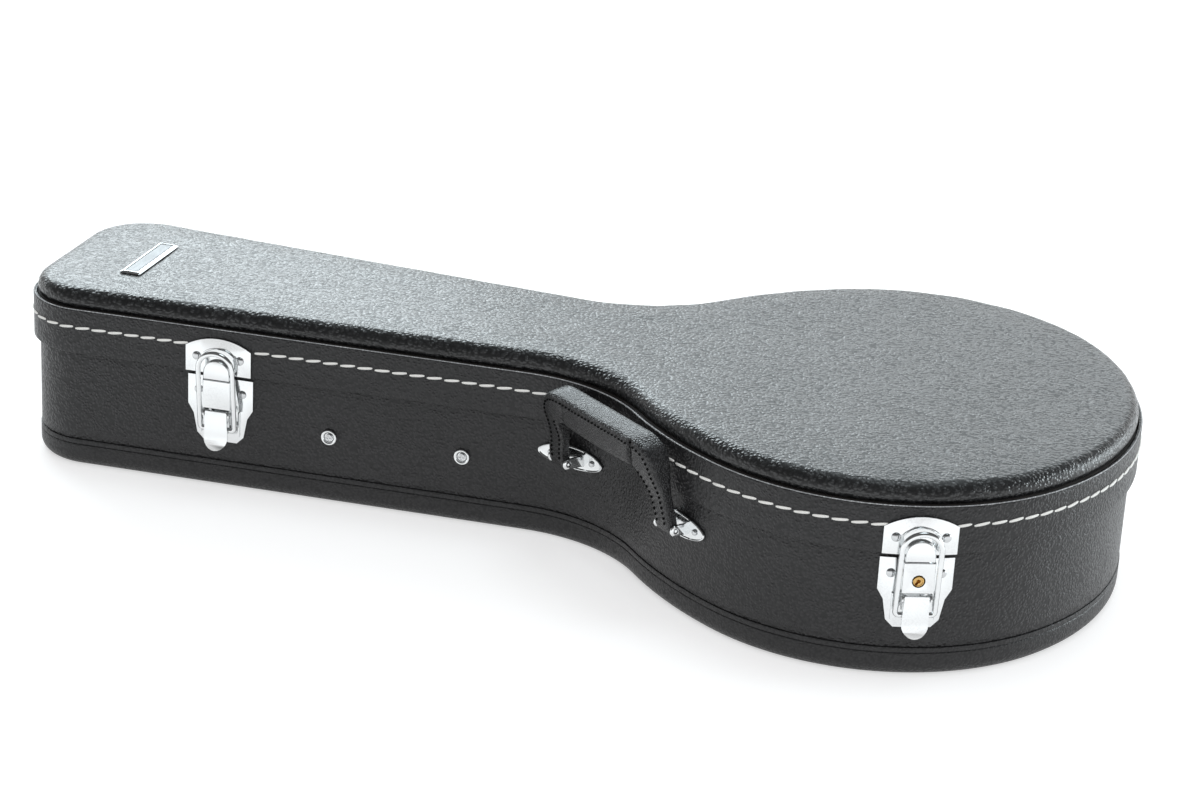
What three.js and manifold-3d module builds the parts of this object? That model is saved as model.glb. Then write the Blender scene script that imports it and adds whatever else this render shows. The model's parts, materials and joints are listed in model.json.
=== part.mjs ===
// A hard case for a mandolin: a base and a padded lid, lined with plush, two draw latches, a carrying
// handle that swings on two brackets, and two hinges at the back.
// Lengths are millimetres and angles are degrees.
// X runs from the head end (-X) to the round tail (+X), and Z is up.
// The latches and the handle are on the near side (-Y), and the hinges on the far side (+Y).
// The origin is on the underside, where the body is widest.
import * as THREE from "three";
import { mergeVertices } from "three/addons/utils/BufferGeometryUtils.js";
import Module from "manifold-3d";

const wasm = await Module();
wasm.setup();

// Outline of the lid band, which is the largest outline of the case.
const bodyHalfWidth = 170; // from the middle line to the widest point of the body
const sideCentreAside = 23.4; // how far the centre of each round side is past the middle line
const tailFlattening = 40.9; // how much larger the radius of the tail is than that of the sides
const shoulderFlattening = 120.1; // how much larger the radius of the shoulders is
const shoulderStart = 120.7; // degrees from the tail to where the shoulder begins
const waistRadius = 99.3; // hollow curve between the body and the neck
const headEnd = 568; // from the widest point of the body to the head end
const headHalfWidth = 80; // half width where the neck's sides meet the head end
const neckTaper = 3.3; // degrees by which each side of the neck closes towards the body
const headCornerRadius = 42.7;

// Heights above the floor.
const bindingHeight = 19.6; // top edge of the binding round the foot
const splitHeight = 81.7; // where the lid meets the base
const bandHeight = 29.8; // from the split up to the top edge of the stitched band
const padRise = 12.5; // from the band up to the top of the lid's padded edge
const crownRise = 0.6; // how much higher the middle of the lid is
const liningDrop = 12.5; // from the top of the band down to the underside of the lid's lining

// Walls and boards.
const lidOverhang = 4.05; // how far the lid band stands out past the base wall
const wallThickness = 6;
const bandThickness = 2.4;
const bandChamfer = 0.5;
const lidWallThickness = 6.5;
const lidBoardThickness = 5;
const lidEdgeInset = 2.85; // groove between the band and the padded top
const lidEdgeRadius = 9; // padded round edge of the lid
const lidEdgeTuck = 2.25; // how far the padded edge turns in at its foot
const crownInset = 34; // where the crown of the lid flattens out
const floorThickness = 4.8;
const bindingThickness = 0.9;
const bindingProud = 0.5; // how far the binding stands out past the base wall
const footRadius = 9; // rounded bottom edge
const bindingLip = 3.5; // width of the binding under the floor
const fitGap = 0.3; // gap between pieces that touch

// Soft inside.
const linerThickness = 3;
const linerRise = 7; // how far the liner stands up into the lid
const padThickness = 6;
const cradleThickness = 25;
const cradleHeight = 50;
const cradleStart = 150; // distance of the cradle's open ends from the widest point
const neckRestFromWaist = -9.6; // from where the waist begins to the middle of the neck rest
const neckRestLength = 30;
const neckRestHeight = 54;
const neckSlotHalfWidth = 24;
const neckSlotDepth = 24;

// Compartment for small things, under the neck.
const partitionFromWaist = 40.4; // from where the waist begins to the nearer partition
const partitionSpacing = 88.6;
const partitionThickness = 6;
const partitionHeight = 43;
const compartmentLidThickness = 4;
const tabWidth = 14;
const tabLength = 16;
const tabThickness = 1.6;
const screwHeight = 47.2; // height of the two partition screws in the near wall
const cupRadius = 5.2;
const cupHeight = 1.8;
const cupRimRadius = 0.7;
const cupSeatRadius = 3.4;
const cupSeatDepth = 1.4;
const screwHeadRadius = 2.9;
const screwHeadHeight = 1.1;
const screwSlotWidth = 0.7;
const screwSlotLength = 3.6;
const screwSlotDepth = 0.5;

// Bare plate on the lid.
const plateFromWidest = 504;
const plateAside = 3.5;
const plateLength = 62;
const plateWidth = 14.5;
const plateHeight = 1.6;
const plateRim = 1.5;
const plateSink = 0.3; // depth of the bare face below the rim
const plateBed = 1.2; // depth of the recess in the frame

// Draw latches. Distances out are from the wall that carries the piece.
const bodyLatchAngle = 69.1; // degrees from the tail to the latch on the round side
const neckLatchPlace = 424; // distance of the other latch from the widest point
const latchWidth = 44;
const keeperSideHeight = 17.4;
const keeperHeight = 24;
const latchPlateThickness = 1.2;
const bossHalfWidth = 8.9;
const bossStraight = 4.3;
const bossDrop = 2.6; // how far the hook reaches below the split
const bossDepth = 4;
const bossBevel = 0.7;
const ridgeInnerRadius = 13.6;
const ridgeWidth = 1.2;
const ridgeRise = 0.7;
const ridgeSpan = 50; // degrees to each side of upright
const ridgeCentreRise = 3.3; // from the split up to the centre of the ridge
const latchPlateTop = 3.6; // from the split down to the base plate
const latchPlateNotch = 6.4; // height of the slanted part under its full width
const latchPlateLeg = 17.6; // height of the narrow part below the slant
const latchPlateLower = 18.2; // half width below the slant
const latchPlateFoot = 15.8; // half width at the foot
const latchPlateFootRise = 14.1; // from the binding up to the foot of the base plate
const latchFootCorner = 4.6;
const housingHalfWidth = 9.4;
const housingTopDrop = 3; // from the split down to the housing
const housingHeight = 19.7;
const housingDepth = 9.5;
const housingBevel = 0.6;
const guardInner = 12.4;
const guardWidth = 1.1;
const guardRise = 1.8;
const guardHeight = 17;
const leverPinDrop = 25.7; // from the split down to the lever's pin
const leverPinOut = 8.5;
const leverPinRadius = 1.2;
const runningGap = 0.1;
const earOuter = 9;
const earThickness = 1.1;
const earRadius = 2.6;
const leverHalfWidth = 8;
const leverTopHalf = 7.2; // half width at the top of its face
const leverThickness = 1.2;
const leverFaceOut = 10.4;
const leverTopRise = 1.5; // how far the lever reaches above its pin
const leverStraight = 14.5; // from the pin down to where the tip curls out
const leverLength = 24.5; // from the pin down to the tip
const leverCurl = 3; // how far the tip stands out
const cheekDepth = 5;
const cheekThickness = 1.2;
const bailWire = 1.65;
const bailHalfWidth = 11.6;
const bailEndDrop = 11.5; // from the lever's pin down to the ends of the bail
const bailEndOut = 7;
const bailTopOut = 11.5;
const bailArchRise = 5.05; // from the split up to the centre of the bail's arch
const bailGrip = 5.2; // length of the bail's turned-in ends
const bailHoleGap = 0.3;
const rivetRadius = 2.8;
const rivetRise = 1.3;
const rivetRounding = [[0.86, 0.55], [0.5, 0.9]]; // shares of a rivet's radius and rise along its round top
const keeperRivetAside = 14.6;
const keeperRivetRise = 11.2;
const plateRivetAside = 14.8;
const plateRivetDrop = 13.4;
const lockRadius = 3.7;
const lockDrop = 11.7; // from the top of the housing down to the lock
const lockGap = 0.3;
const lockDepth = 6;
const lockProud = 0.5;
const lockRim = 0.8;
const keyholeRadius = 1.1;
const keySlotWidth = 1.3;
const keySlotLength = 2.6;

// Handle.
const leftBracketAngle = 74.4; // place of the left bracket on the hollow waist
const rightBracketAngle = 232.4; // place of the right bracket on the shoulder
const handlePinDrop = 21.2; // from the split down to the handle's pins
const handleClearance = 2.43; // from the band of the lid to the middle of the handle's pins
const handlePinRadius = 2.3;
const handleLean = 11;
const handleHeight = 56; // from the pin to the top of the grip
const legSlope = 6.2; // how far each leg leans in from its foot to the corner of the grip
const legWidth = 14;
const gripHeight = 20;
const gripDepth = 17;
const gripEdge = 3.5;
const legDepth = 8;
const legStraight = 20; // from the pin up to where the leg starts to thicken
const legFoot = 6; // from the pin up to where the leg starts to lean
const gripOuterCorner = 9;
const gripInnerCorner = 6;
const pinHoleGap = 0.3;
const bracketLength = 48;
const bracketHalfHeight = 7.6;
const bracketRim = 1.3;
const bracketRimRise = 0.7;
const bracketThickness = 1.1;
const bracketRivetAside = 15.5;
const bracketRivetRadius = 2;
const lugGap = 0.4;
const lugThickness = 1.6;
const lugRadius = 3.6;

// Hinges.
const hingePlace = 32; // distance of each hinge from the widest point
const hingeWidth = 26;
const hingeOut = 3.2; // distance of the hinge line outside the widest point
const knuckleRadius = 2.6;
const hingePinRadius = 1.3;
const hingePinHead = 1.2;
const leafHeight = 20;
const leafThickness = 1.4;
const webThickness = 1.4;
const knuckleGap = 0.3;
const leafRivetRadius = 2.2;
const leafRivetRise = 1;
const leafRivetAside = 8.5;

// Fineness of the round shapes, and small values for the joining and cutting of solids.
const sideSteps = 10;
const tailSteps = 4;
const shoulderSteps = 5;
const waistSteps = 8;
const cornerSteps = 6;
const edgeSteps = 4;
const curveSteps = 3;
const bandReachSteps = 8;
const pinSides = 16;
const overrun = 1;
const reach = 30; // depth of the shapes that only cut
const mergeTolerance = 1e-4;
const sharpestMitre = 0.5; // cosine that limits how far a mitred corner of a wire stretches

const radians = THREE.MathUtils.degToRad;

// Solids
function solid(geometry) {
  const bare = geometry.index ? geometry.toNonIndexed() : geometry.clone();
  bare.deleteAttribute("normal");
  bare.deleteAttribute("uv");
  const merged = mergeVertices(bare, mergeTolerance);
  const vertProperties = new Float32Array(merged.getAttribute("position").array);
  const triVerts = new Uint32Array(merged.index.array);
  return new wasm.Manifold(new wasm.Mesh({ numProp: 3, vertProperties, triVerts }));
}

function geometryOf(manifold) {
  const { vertProperties, triVerts } = manifold.getMesh();
  const geometry = new THREE.BufferGeometry();
  geometry.setAttribute("position", new THREE.BufferAttribute(new Float32Array(vertProperties), 3));
  geometry.setIndex(new THREE.BufferAttribute(new Uint32Array(triVerts), 1));
  geometry.computeVertexNormals();
  return geometry;
}

function join(first, ...others) {
  return geometryOf(others.reduce((sum, other) => sum.add(solid(other)), solid(first)));
}

function cut(first, ...others) {
  return geometryOf(others.reduce((rest, other) => rest.subtract(solid(other)), solid(first)));
}

function common(first, second) {
  return geometryOf(solid(first).intersect(solid(second)));
}

function box(x0, x1, y0, y1, z0, z1) {
  const geometry = new THREE.BoxGeometry(x1 - x0, y1 - y0, z1 - z0);
  return geometry.translate((x0 + x1) / 2, (y0 + y1) / 2, (z0 + z1) / 2);
}

function extrude(shape, from, to, curveSegments = edgeSteps) {
  const options = { depth: to - from, bevelEnabled: false, curveSegments };
  return new THREE.ExtrudeGeometry(shape, options).translate(0, 0, from);
}

// A raised boss whose front edge is bevelled.
function bevelled(shape, from, to, bevel, curveSegments) {
  const options = {
    depth: to - from - bevel,
    curveSegments,
    bevelThickness: bevel,
    bevelSize: bevel,
    bevelOffset: -bevel,
    bevelSegments: 2,
  };
  return common(
    new THREE.ExtrudeGeometry(shape, options).translate(0, 0, from),
    extrude(shape, from, to + overrun, curveSegments),
  );
}

function polygon(points) {
  return new THREE.Shape(points.map(([x, y]) => new THREE.Vector2(x, y)));
}

// A cylinder along one axis between two places, with its middle at the two other coordinates.
function rod(axis, radius, from, to, middle) {
  const geometry = new THREE.CylinderGeometry(radius, radius, to - from, pinSides);
  const along = (from + to) / 2;
  if (axis === "x") {
    return geometry.rotateZ(Math.PI / 2).translate(along, ...middle);
  }
  return geometry.rotateX(Math.PI / 2).translate(...middle, along);
}

function shares(steps) {
  return Array.from({ length: steps + 1 }, (_, i) => i / steps);
}

function arcPoints(centre, radius, start, end, steps) {
  return shares(steps).map((share) => {
    const angle = start + (end - start) * share;
    return [centre[0] + radius * Math.cos(angle), centre[1] + radius * Math.sin(angle)];
  });
}

// Heights that follow from the others
const bandTop = splitHeight + bandHeight;
const lidTopHeight = bandTop + padRise;
const liningBottom = bandTop - liningDrop;

// Outline of the case, seen from above
const sideRadius = bodyHalfWidth - sideCentreAside;
const tailRadius = sideRadius + tailFlattening;
const shoulderRadius = sideRadius + shoulderFlattening;
const taper = radians(neckTaper);
const neckDirection = new THREE.Vector2(Math.cos(taper), Math.sin(taper));
const neckOutward = new THREE.Vector2(Math.sin(taper), -Math.cos(taper));
const headCorner = new THREE.Vector2(-headEnd, -headHalfWidth);
const tailSweep = Math.asin(sideCentreAside / tailFlattening);
const sideCentre = new THREE.Vector2(0, -sideCentreAside);
const tailCentre = pointAt(sideCentre, -tailFlattening, -tailSweep);
const shoulderCentre = pointAt(sideCentre, -shoulderFlattening, -radians(shoulderStart));
const waistCentre = findWaistCentre();
const cornerCentre = findCornerCentre();
const waistPlace = -pointAt(waistCentre, -waistRadius, neckOutward.angle()).x;
const neckRestPlace = waistPlace + neckRestFromWaist;
const waistPartitionPlace = waistPlace + partitionFromWaist;
const headPartitionPlace = waistPartitionPlace + partitionSpacing;

function pointAt(centre, distance, angle) {
  return new THREE.Vector2(centre.x + distance * Math.cos(angle), centre.y + distance * Math.sin(angle));
}

// The waist curve touches the neck's side and the shoulder from outside.
function findWaistCentre() {
  const start = headCorner.clone().addScaledVector(neckOutward, waistRadius);
  const away = start.clone().sub(shoulderCentre);
  const along = away.dot(neckDirection);
  const reachSquared = (shoulderRadius + waistRadius) ** 2;
  const forward = -along - Math.sqrt(along ** 2 - away.lengthSq() + reachSquared);
  return start.addScaledVector(neckDirection, forward);
}

// The head corner touches the head end and the neck's side from inside.
function findCornerCentre() {
  const x = -headEnd + headCornerRadius;
  const aside = (headCornerRadius * (1 + neckOutward.x)) / -neckOutward.y;
  return new THREE.Vector2(x, aside - headHalfWidth);
}

function turn(angle) {
  return (angle + 2 * Math.PI) % (2 * Math.PI);
}

// The arcs of the near half, from the head end to the tail. A hollow arc grows where the others shrink.
const neckAngle = turn(neckOutward.angle());
const waistEnd = turn(shoulderCentre.clone().sub(waistCentre).angle());
const shoulderBegin = turn(waistCentre.clone().sub(shoulderCentre).angle());
const sideBegin = 2 * Math.PI - radians(shoulderStart);
const sideEnd = 2 * Math.PI - tailSweep;
const headCornerArc = { centre: cornerCentre, radius: headCornerRadius, hollow: 1, steps: cornerSteps };
Object.assign(headCornerArc, { start: Math.PI, end: neckAngle });
const waistArc = { centre: waistCentre, radius: waistRadius, hollow: -1, steps: waistSteps };
Object.assign(waistArc, { start: neckAngle - Math.PI, end: waistEnd });
const shoulderArc = { centre: shoulderCentre, radius: shoulderRadius, hollow: 1, steps: shoulderSteps };
Object.assign(shoulderArc, { start: shoulderBegin, end: sideBegin });
const sideArc = { centre: sideCentre, radius: sideRadius, hollow: 1, steps: sideSteps };
Object.assign(sideArc, { start: sideBegin, end: sideEnd });
const tailArc = { centre: tailCentre, radius: tailRadius, hollow: 1, steps: tailSteps };
Object.assign(tailArc, { start: sideEnd, end: 2 * Math.PI });
const outlineArcs = [headCornerArc, waistArc, shoulderArc, sideArc, tailArc];

function samePlace(a, b) {
  return Math.hypot(a[0] - b[0], a[1] - b[1]) < mergeTolerance;
}

// The closed outline at a distance inside the band's face, anticlockwise seen from above.
function outline(inset) {
  const near = [];
  for (const { centre, radius, hollow, start, end, steps } of outlineArcs) {
    for (const point of arcPoints([centre.x, centre.y], radius - hollow * inset, start, end, steps)) {
      if (!near.length || !samePlace(near.at(-1), point)) {
        near.push(point);
      }
    }
  }
  near[near.length - 1] = [near.at(-1)[0], 0];
  const far = near.slice(0, -1).reverse();
  return [...near, ...far.map(([x, y]) => [x, -y])];
}

// Half the width of the neck, at a distance from the widest point and inside the band's face.
function neckHalfWidth(place, inset) {
  const back = headEnd - place;
  return headHalfWidth - back * Math.tan(taper) - inset / Math.cos(taper);
}

function outward(geometry) {
  const position = geometry.getAttribute("position");
  const index = geometry.index.array;
  const corners = [new THREE.Vector3(), new THREE.Vector3(), new THREE.Vector3()];
  let volume = 0;
  for (let i = 0; i < index.length; i += 3) {
    corners.forEach((corner, k) => corner.fromBufferAttribute(position, index[i + k]));
    volume += corners[0].dot(corners[1].clone().cross(corners[2]));
  }
  if (volume < 0) {
    for (let i = 0; i < index.length; i += 3) {
      [index[i + 1], index[i + 2]] = [index[i + 2], index[i + 1]];
    }
  }
  geometry.computeVertexNormals();
  return geometry;
}

// Loops of the outline, one for each [inset, height], joined by walls.
function loops(profile) {
  const rings = profile.map(([inset, height]) => outline(inset).map(([x, y]) => [x, y, height]));
  const count = rings[0].length;
  const index = [];
  const wall = (low, high) => {
    for (let j = 0; j < count; j += 1) {
      const next = (j + 1) % count;
      index.push(low * count + j, low * count + next, high * count + next);
      index.push(low * count + j, high * count + next, high * count + j);
    }
  };
  return { rings, count, index, wall };
}

function indexed(rings, index) {
  const geometry = new THREE.BufferGeometry();
  geometry.setAttribute("position", new THREE.Float32BufferAttribute(rings.flat(2), 3));
  geometry.setIndex(index);
  return outward(geometry);
}

// A wall that follows the whole outline. The profile is its closed section.
function hoop(profile) {
  const { rings, index, wall } = loops(profile);
  profile.forEach((_, i) => wall(i, (i + 1) % profile.length));
  return indexed(rings, index);
}

// A board that fills the outline. The profile is its edge from the underside to the top.
function board(profile) {
  const { rings, count, index, wall } = loops(profile);
  profile.slice(1).forEach((_, i) => wall(i, i + 1));
  const last = profile.length - 1;
  for (const ring of [0, last]) {
    const flat = rings[ring].map(([x, y]) => new THREE.Vector2(x, y));
    for (const [a, b, c] of THREE.ShapeUtils.triangulateShape(flat, [])) {
      const corners = ring === 0 ? [c, b, a] : [a, b, c];
      index.push(...corners.map((corner) => corner + ring * count));
    }
  }
  return indexed(rings, index);
}

// Places on the near wall. In each frame, x runs along the wall, y is up and z points out of the wall.
function wallFrame(x, y, outX, outY) {
  const out = new THREE.Vector3(outX, outY, 0).normalize();
  const up = new THREE.Vector3(0, 0, 1);
  const along = up.clone().cross(out);
  return new THREE.Matrix4().makeBasis(along, up, out).setPosition(x, y, 0);
}

function neckFrame(place, inset) {
  return wallFrame(-place, -neckHalfWidth(place, inset), neckOutward.x, neckOutward.y);
}

function arcFrame(arc, angle, inset) {
  const at = pointAt(arc.centre, arc.radius - arc.hollow * inset, angle);
  return wallFrame(at.x, at.y, arc.hollow * Math.cos(angle), arc.hollow * Math.sin(angle));
}

// A sheet that follows a wall, in the frame of a place on that wall. Plates are cut out of it.
function sheet(wall, inset, thickness, halfLength, low, high) {
  if (!wall.arc) {
    return box(-halfLength, halfLength, low, high, fitGap, fitGap + thickness);
  }
  const { radius, hollow } = wall.arc;
  const face = radius - hollow * inset;
  const inner = face + hollow * fitGap;
  const outer = inner + hollow * thickness;
  const half = Math.asin(Math.min(halfLength / Math.min(inner, outer), 1));
  const middle = (hollow * Math.PI) / 2;
  const shape = new THREE.Shape();
  shape.absarc(0, -hollow * face, outer, middle - half, middle + half, false);
  shape.absarc(0, -hollow * face, inner, middle + half, middle - half, true);
  return extrude(shape, -high, -low, edgeSteps).rotateX(Math.PI / 2);
}

// Group and looks
const mandolinCase = new THREE.Group();

const looks = {
  vinyl: { color: 0x333134, roughness: 0.55, metalness: 0 },
  vinylTop: { color: 0x3c3e42, roughness: 0.45, metalness: 0 },
  binding: { color: 0x2c2a2d, roughness: 0.6, metalness: 0 },
  board: { color: 0x8a6f4d, roughness: 0.8, metalness: 0 },
  plush: { color: 0x17171a, roughness: 1, metalness: 0 },
  leather: { color: 0x29282b, roughness: 0.5, metalness: 0 },
  chrome: { color: 0xd9dcdf, roughness: 0.18, metalness: 1 },
  steel: { color: 0xa9acb0, roughness: 0.35, metalness: 1 },
  brass: { color: 0xb8904a, roughness: 0.3, metalness: 1 },
};

function part(name, geometry, look, parent = mandolinCase) {
  const mesh = new THREE.Mesh(geometry, new THREE.MeshStandardMaterial(looks[look]));
  mesh.name = name;
  parent.add(mesh);
  return mesh;
}

function group(frame) {
  const made = new THREE.Group();
  made.applyMatrix4(frame);
  mandolinCase.add(made);
  return made;
}

// Base shell
const bindingInset = lidOverhang - bindingProud;
const rebateInset = bindingInset + bindingThickness + fitGap;
const footInset = bindingInset + footRadius;
const floorBottom = bindingThickness + fitGap;
const floorTop = floorBottom + floorThickness;
const wallBottom = floorTop + fitGap;
const wallInside = lidOverhang + wallThickness;

function footArc(radius, steps) {
  return arcPoints([footInset, footRadius], radius, Math.PI, 1.5 * Math.PI, steps);
}

function makeBindingProfile() {
  const lipInset = footInset + bindingLip;
  const outer = footArc(footRadius, edgeSteps);
  const inner = footArc(footRadius - bindingThickness, edgeSteps).reverse();
  const top = [[bindingInset, bindingHeight]];
  const lip = [[lipInset, 0], [lipInset, bindingThickness]];
  return [...top, ...outer, ...lip, ...inner, [bindingInset + bindingThickness, bindingHeight]];
}

// Inset of what lies behind the binding, at a height.
function behindBinding(height) {
  const radius = footRadius - bindingThickness - fitGap;
  const drop = Math.max(footRadius - height, 0);
  return footInset - Math.sqrt(radius ** 2 - drop ** 2);
}

function makeFloorProfile() {
  const lipInset = footInset + bindingLip + fitGap;
  const edge = footArc(footRadius - bindingThickness - fitGap, edgeSteps + 1).reverse();
  const low = edge.filter(([, height]) => height < floorTop);
  return [[lipInset, 0], [lipInset, floorBottom], ...low, [behindBinding(floorTop), floorTop]];
}

function makeWallProfile() {
  const top = splitHeight - fitGap;
  const shelf = bindingHeight + fitGap;
  const edge = footArc(footRadius - bindingThickness - fitGap, edgeSteps + 1);
  const low = edge.filter(([, height]) => height > wallBottom && height < shelf);
  const outside = [[lidOverhang, top], [lidOverhang, shelf], [rebateInset, shelf], ...low];
  return [...outside, [behindBinding(wallBottom), wallBottom], [wallInside, wallBottom], [wallInside, top]];
}

part("bottom_binding", hoop(makeBindingProfile()), "binding");
part("bottom_panel", board(makeFloorProfile()), "vinyl");
part("base_wall", hoop(makeWallProfile()), "vinyl");

// Soft inside of the base
const linerInset = wallInside + fitGap;
const linerInside = linerInset + linerThickness;
const padInset = linerInside + fitGap;
const padBottom = floorTop + fitGap;
const padTop = padBottom + padThickness;
const linerTop = splitHeight + linerRise;
const insideBottom = padTop + fitGap;

function rectangle(inset0, inset1, z0, z1) {
  return [[inset0, z0], [inset1, z0], [inset1, z1], [inset0, z1]];
}

function makeCradle() {
  const cradleInside = padInset + cradleThickness;
  const whole = hoop(rectangle(padInset, cradleInside, insideBottom, insideBottom + cradleHeight));
  const half = bodyHalfWidth + overrun;
  const kept = box(-cradleStart, headEnd, -half, half, 0, splitHeight);
  return common(whole, kept);
}

// A block across the neck, whose ends follow the neck's taper.
function acrossNeck(place, length, z0, z1) {
  const ends = [place + length / 2, place - length / 2];
  const halves = ends.map((end) => neckHalfWidth(end, padInset));
  const near = ends.map((end, i) => [-end, -halves[i]]);
  const far = ends.map((end, i) => [-end, halves[i]]).reverse();
  return extrude(polygon([...near, ...far]), z0, z1);
}

function makeNeckRest() {
  const top = insideBottom + neckRestHeight;
  const block = acrossNeck(neckRestPlace, neckRestLength, insideBottom, top);
  const slot = new THREE.Shape();
  slot.moveTo(-neckSlotHalfWidth, top + overrun);
  slot.absellipse(0, top, neckSlotHalfWidth, neckSlotDepth, Math.PI, 2 * Math.PI, false, 0);
  slot.lineTo(neckSlotHalfWidth, top + overrun);
  const half = neckRestLength / 2 + overrun;
  const channel = extrude(slot, -half, half, cornerSteps).rotateX(Math.PI / 2).rotateZ(Math.PI / 2);
  return cut(block, channel.translate(-neckRestPlace, 0, 0));
}

part("liner", hoop(rectangle(linerInset, linerInside, padBottom, linerTop)), "plush");
part("floor_pad", board([[padInset, padBottom], [padInset, padTop]]), "plush");
part("body_cradle", makeCradle(), "plush");
part("neck_rest", makeNeckRest(), "plush");

// Compartment
const partitionTop = insideBottom + partitionHeight;
const compartmentLidBottom = partitionTop + fitGap;
const compartmentLidTop = compartmentLidBottom + compartmentLidThickness;

function makeCompartmentLid() {
  const length = headPartitionPlace - waistPartitionPlace + partitionThickness;
  const place = (headPartitionPlace + waistPartitionPlace) / 2;
  return acrossNeck(place, length, compartmentLidBottom, compartmentLidTop);
}

function makeTab() {
  const end = -waistPartitionPlace + partitionThickness / 2 - tabLength / 2;
  const low = compartmentLidTop + fitGap;
  return box(end, end + tabLength, -tabWidth / 2, tabWidth / 2, low, low + tabThickness);
}

for (const [name, place] of [["head", headPartitionPlace], ["waist", waistPartitionPlace]]) {
  const wall = acrossNeck(place, partitionThickness, insideBottom, partitionTop);
  part(`${name}_partition`, wall, "plush");
}
part("compartment_lid", makeCompartmentLid(), "plush");
part("pull_tab", makeTab(), "leather");

// Screws through the near wall into the partitions
function makeCup() {
  const top = fitGap + cupHeight;
  const rim = cupRadius - cupRimRadius;
  const points = [
    [0, fitGap],
    [cupRadius, fitGap],
    [cupRadius, top - cupRimRadius],
    [rim, top],
    [cupSeatRadius, top - cupRimRadius / 2],
    [cupSeatRadius - cupRimRadius, top - cupSeatDepth],
    [0, top - cupSeatDepth],
  ];
  const profile = points.map(([radius, out]) => new THREE.Vector2(radius, out));
  return outwardLathe(profile);
}

function outwardLathe(profile) {
  const turned = new THREE.LatheGeometry(profile, pinSides);
  turned.deleteAttribute("normal");
  turned.deleteAttribute("uv");
  return outward(mergeVertices(turned, mergeTolerance)).rotateX(Math.PI / 2);
}

function makeScrew() {
  const low = fitGap * 2 + cupHeight - cupSeatDepth;
  const high = low + screwHeadHeight;
  const radius = Math.min(screwHeadRadius, cupSeatRadius - cupRimRadius - fitGap);
  const head = rod("z", radius, low, high, [0, 0]);
  const half = screwSlotLength / 2;
  const thin = screwSlotWidth / 2;
  const floor = high - screwSlotDepth;
  const level = box(-half, half, -thin, thin, floor, high + overrun);
  const upright = box(-thin, thin, -half, half, floor, high + overrun);
  return cut(head, level, upright);
}

for (const [name, place] of [["head", headPartitionPlace], ["waist", waistPartitionPlace]]) {
  const spot = group(neckFrame(place, lidOverhang));
  part(`${name}_cup_washer`, makeCup().translate(0, screwHeight, 0), "chrome", spot);
  part(`${name}_screw`, makeScrew().translate(0, screwHeight, 0), "steel", spot);
}

// Lid
const lidWallInset = bandThickness + fitGap;
const lidWallInside = lidWallInset + lidWallThickness;
const lidBoardBottom = bandTop - lidBoardThickness - fitGap / 2;
const lidWallTop = lidBoardBottom - fitGap;
const lidBoardTop = lidBoardBottom + lidBoardThickness;
const lidTopBottom = lidBoardTop + fitGap;

function makeBandProfile() {
  const top = bandTop;
  const edge = top - bandChamfer;
  return [
    [0, splitHeight],
    [0, edge],
    [bandChamfer, top],
    [bandThickness - bandChamfer, top],
    [bandThickness, edge],
    [bandThickness, splitHeight],
  ];
}

function makeTopProfile() {
  const arcCentre = [lidEdgeInset + lidEdgeRadius, lidTopHeight - lidEdgeRadius];
  const tuck = lidEdgeInset + lidEdgeTuck;
  const edge = arcPoints(arcCentre, lidEdgeRadius, Math.PI, Math.PI / 2, edgeSteps + 1);
  const crown = shares(curveSteps).slice(1).map((share) => {
    const inset = arcCentre[0] + (crownInset - arcCentre[0]) * share;
    return [inset, lidTopHeight + crownRise * Math.sin((share * Math.PI) / 2)];
  });
  return [[tuck, lidTopBottom], ...edge, ...crown];
}

const liningInset = lidWallInside + fitGap;
part("lid_band", hoop(makeBandProfile()), "vinyl");
part("lid_wall", hoop(rectangle(lidWallInset, lidWallInside, splitHeight, lidWallTop)), "plush");
part("lid_board", board([[lidWallInset, lidBoardBottom], [lidWallInset, lidBoardTop]]), "board");
part("lid_top", board(makeTopProfile()), "vinylTop");
part("lid_lining", board([[liningInset, liningBottom], [liningInset, lidWallTop]]), "plush");

// Bare plate on the lid
function makePlateFrame() {
  const low = lidTopHeight + crownRise + fitGap;
  const high = low + plateHeight;
  const half = plateWidth / 2;
  const side = plateLength / 2;
  const block = box(-half, half, -side, side, low, high);
  const inner = half - plateRim;
  const innerSide = side - plateRim;
  const hollow = box(-inner, inner, -innerSide, innerSide, high - plateBed, high + overrun);
  return cut(block, hollow);
}

function makePlateFace() {
  const high = lidTopHeight + crownRise + fitGap + plateHeight;
  const inside = plateRim + fitGap;
  const half = plateWidth / 2 - inside;
  const side = plateLength / 2 - inside;
  return box(-half, half, -side, side, high - plateBed + fitGap, high - plateSink);
}

const plateSpot = group(new THREE.Matrix4().makeTranslation(-plateFromWidest, -plateAside, 0));
part("nameplate_frame", makePlateFrame(), "chrome", plateSpot);
part("nameplate", makePlateFace(), "steel", plateSpot);

// Draw latches
const keeperOut = fitGap + latchPlateThickness;
const leverPinHeight = splitHeight - leverPinDrop;
const leverPinPlace = [leverPinHeight, leverPinOut];

function makeKeeperShape() {
  const half = latchWidth / 2;
  const low = splitHeight + fitGap;
  const side = low + keeperSideHeight;
  const rise = keeperHeight - keeperSideHeight;
  const radius = (half ** 2 + rise ** 2) / (2 * rise);
  const spread = Math.asin(half / radius);
  const shape = new THREE.Shape();
  shape.moveTo(-half, low);
  shape.lineTo(half, low);
  shape.lineTo(half, side);
  shape.absarc(0, low + keeperHeight - radius, radius, Math.PI / 2 - spread, Math.PI / 2 + spread, false);
  shape.lineTo(-half, low);
  return shape;
}

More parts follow.
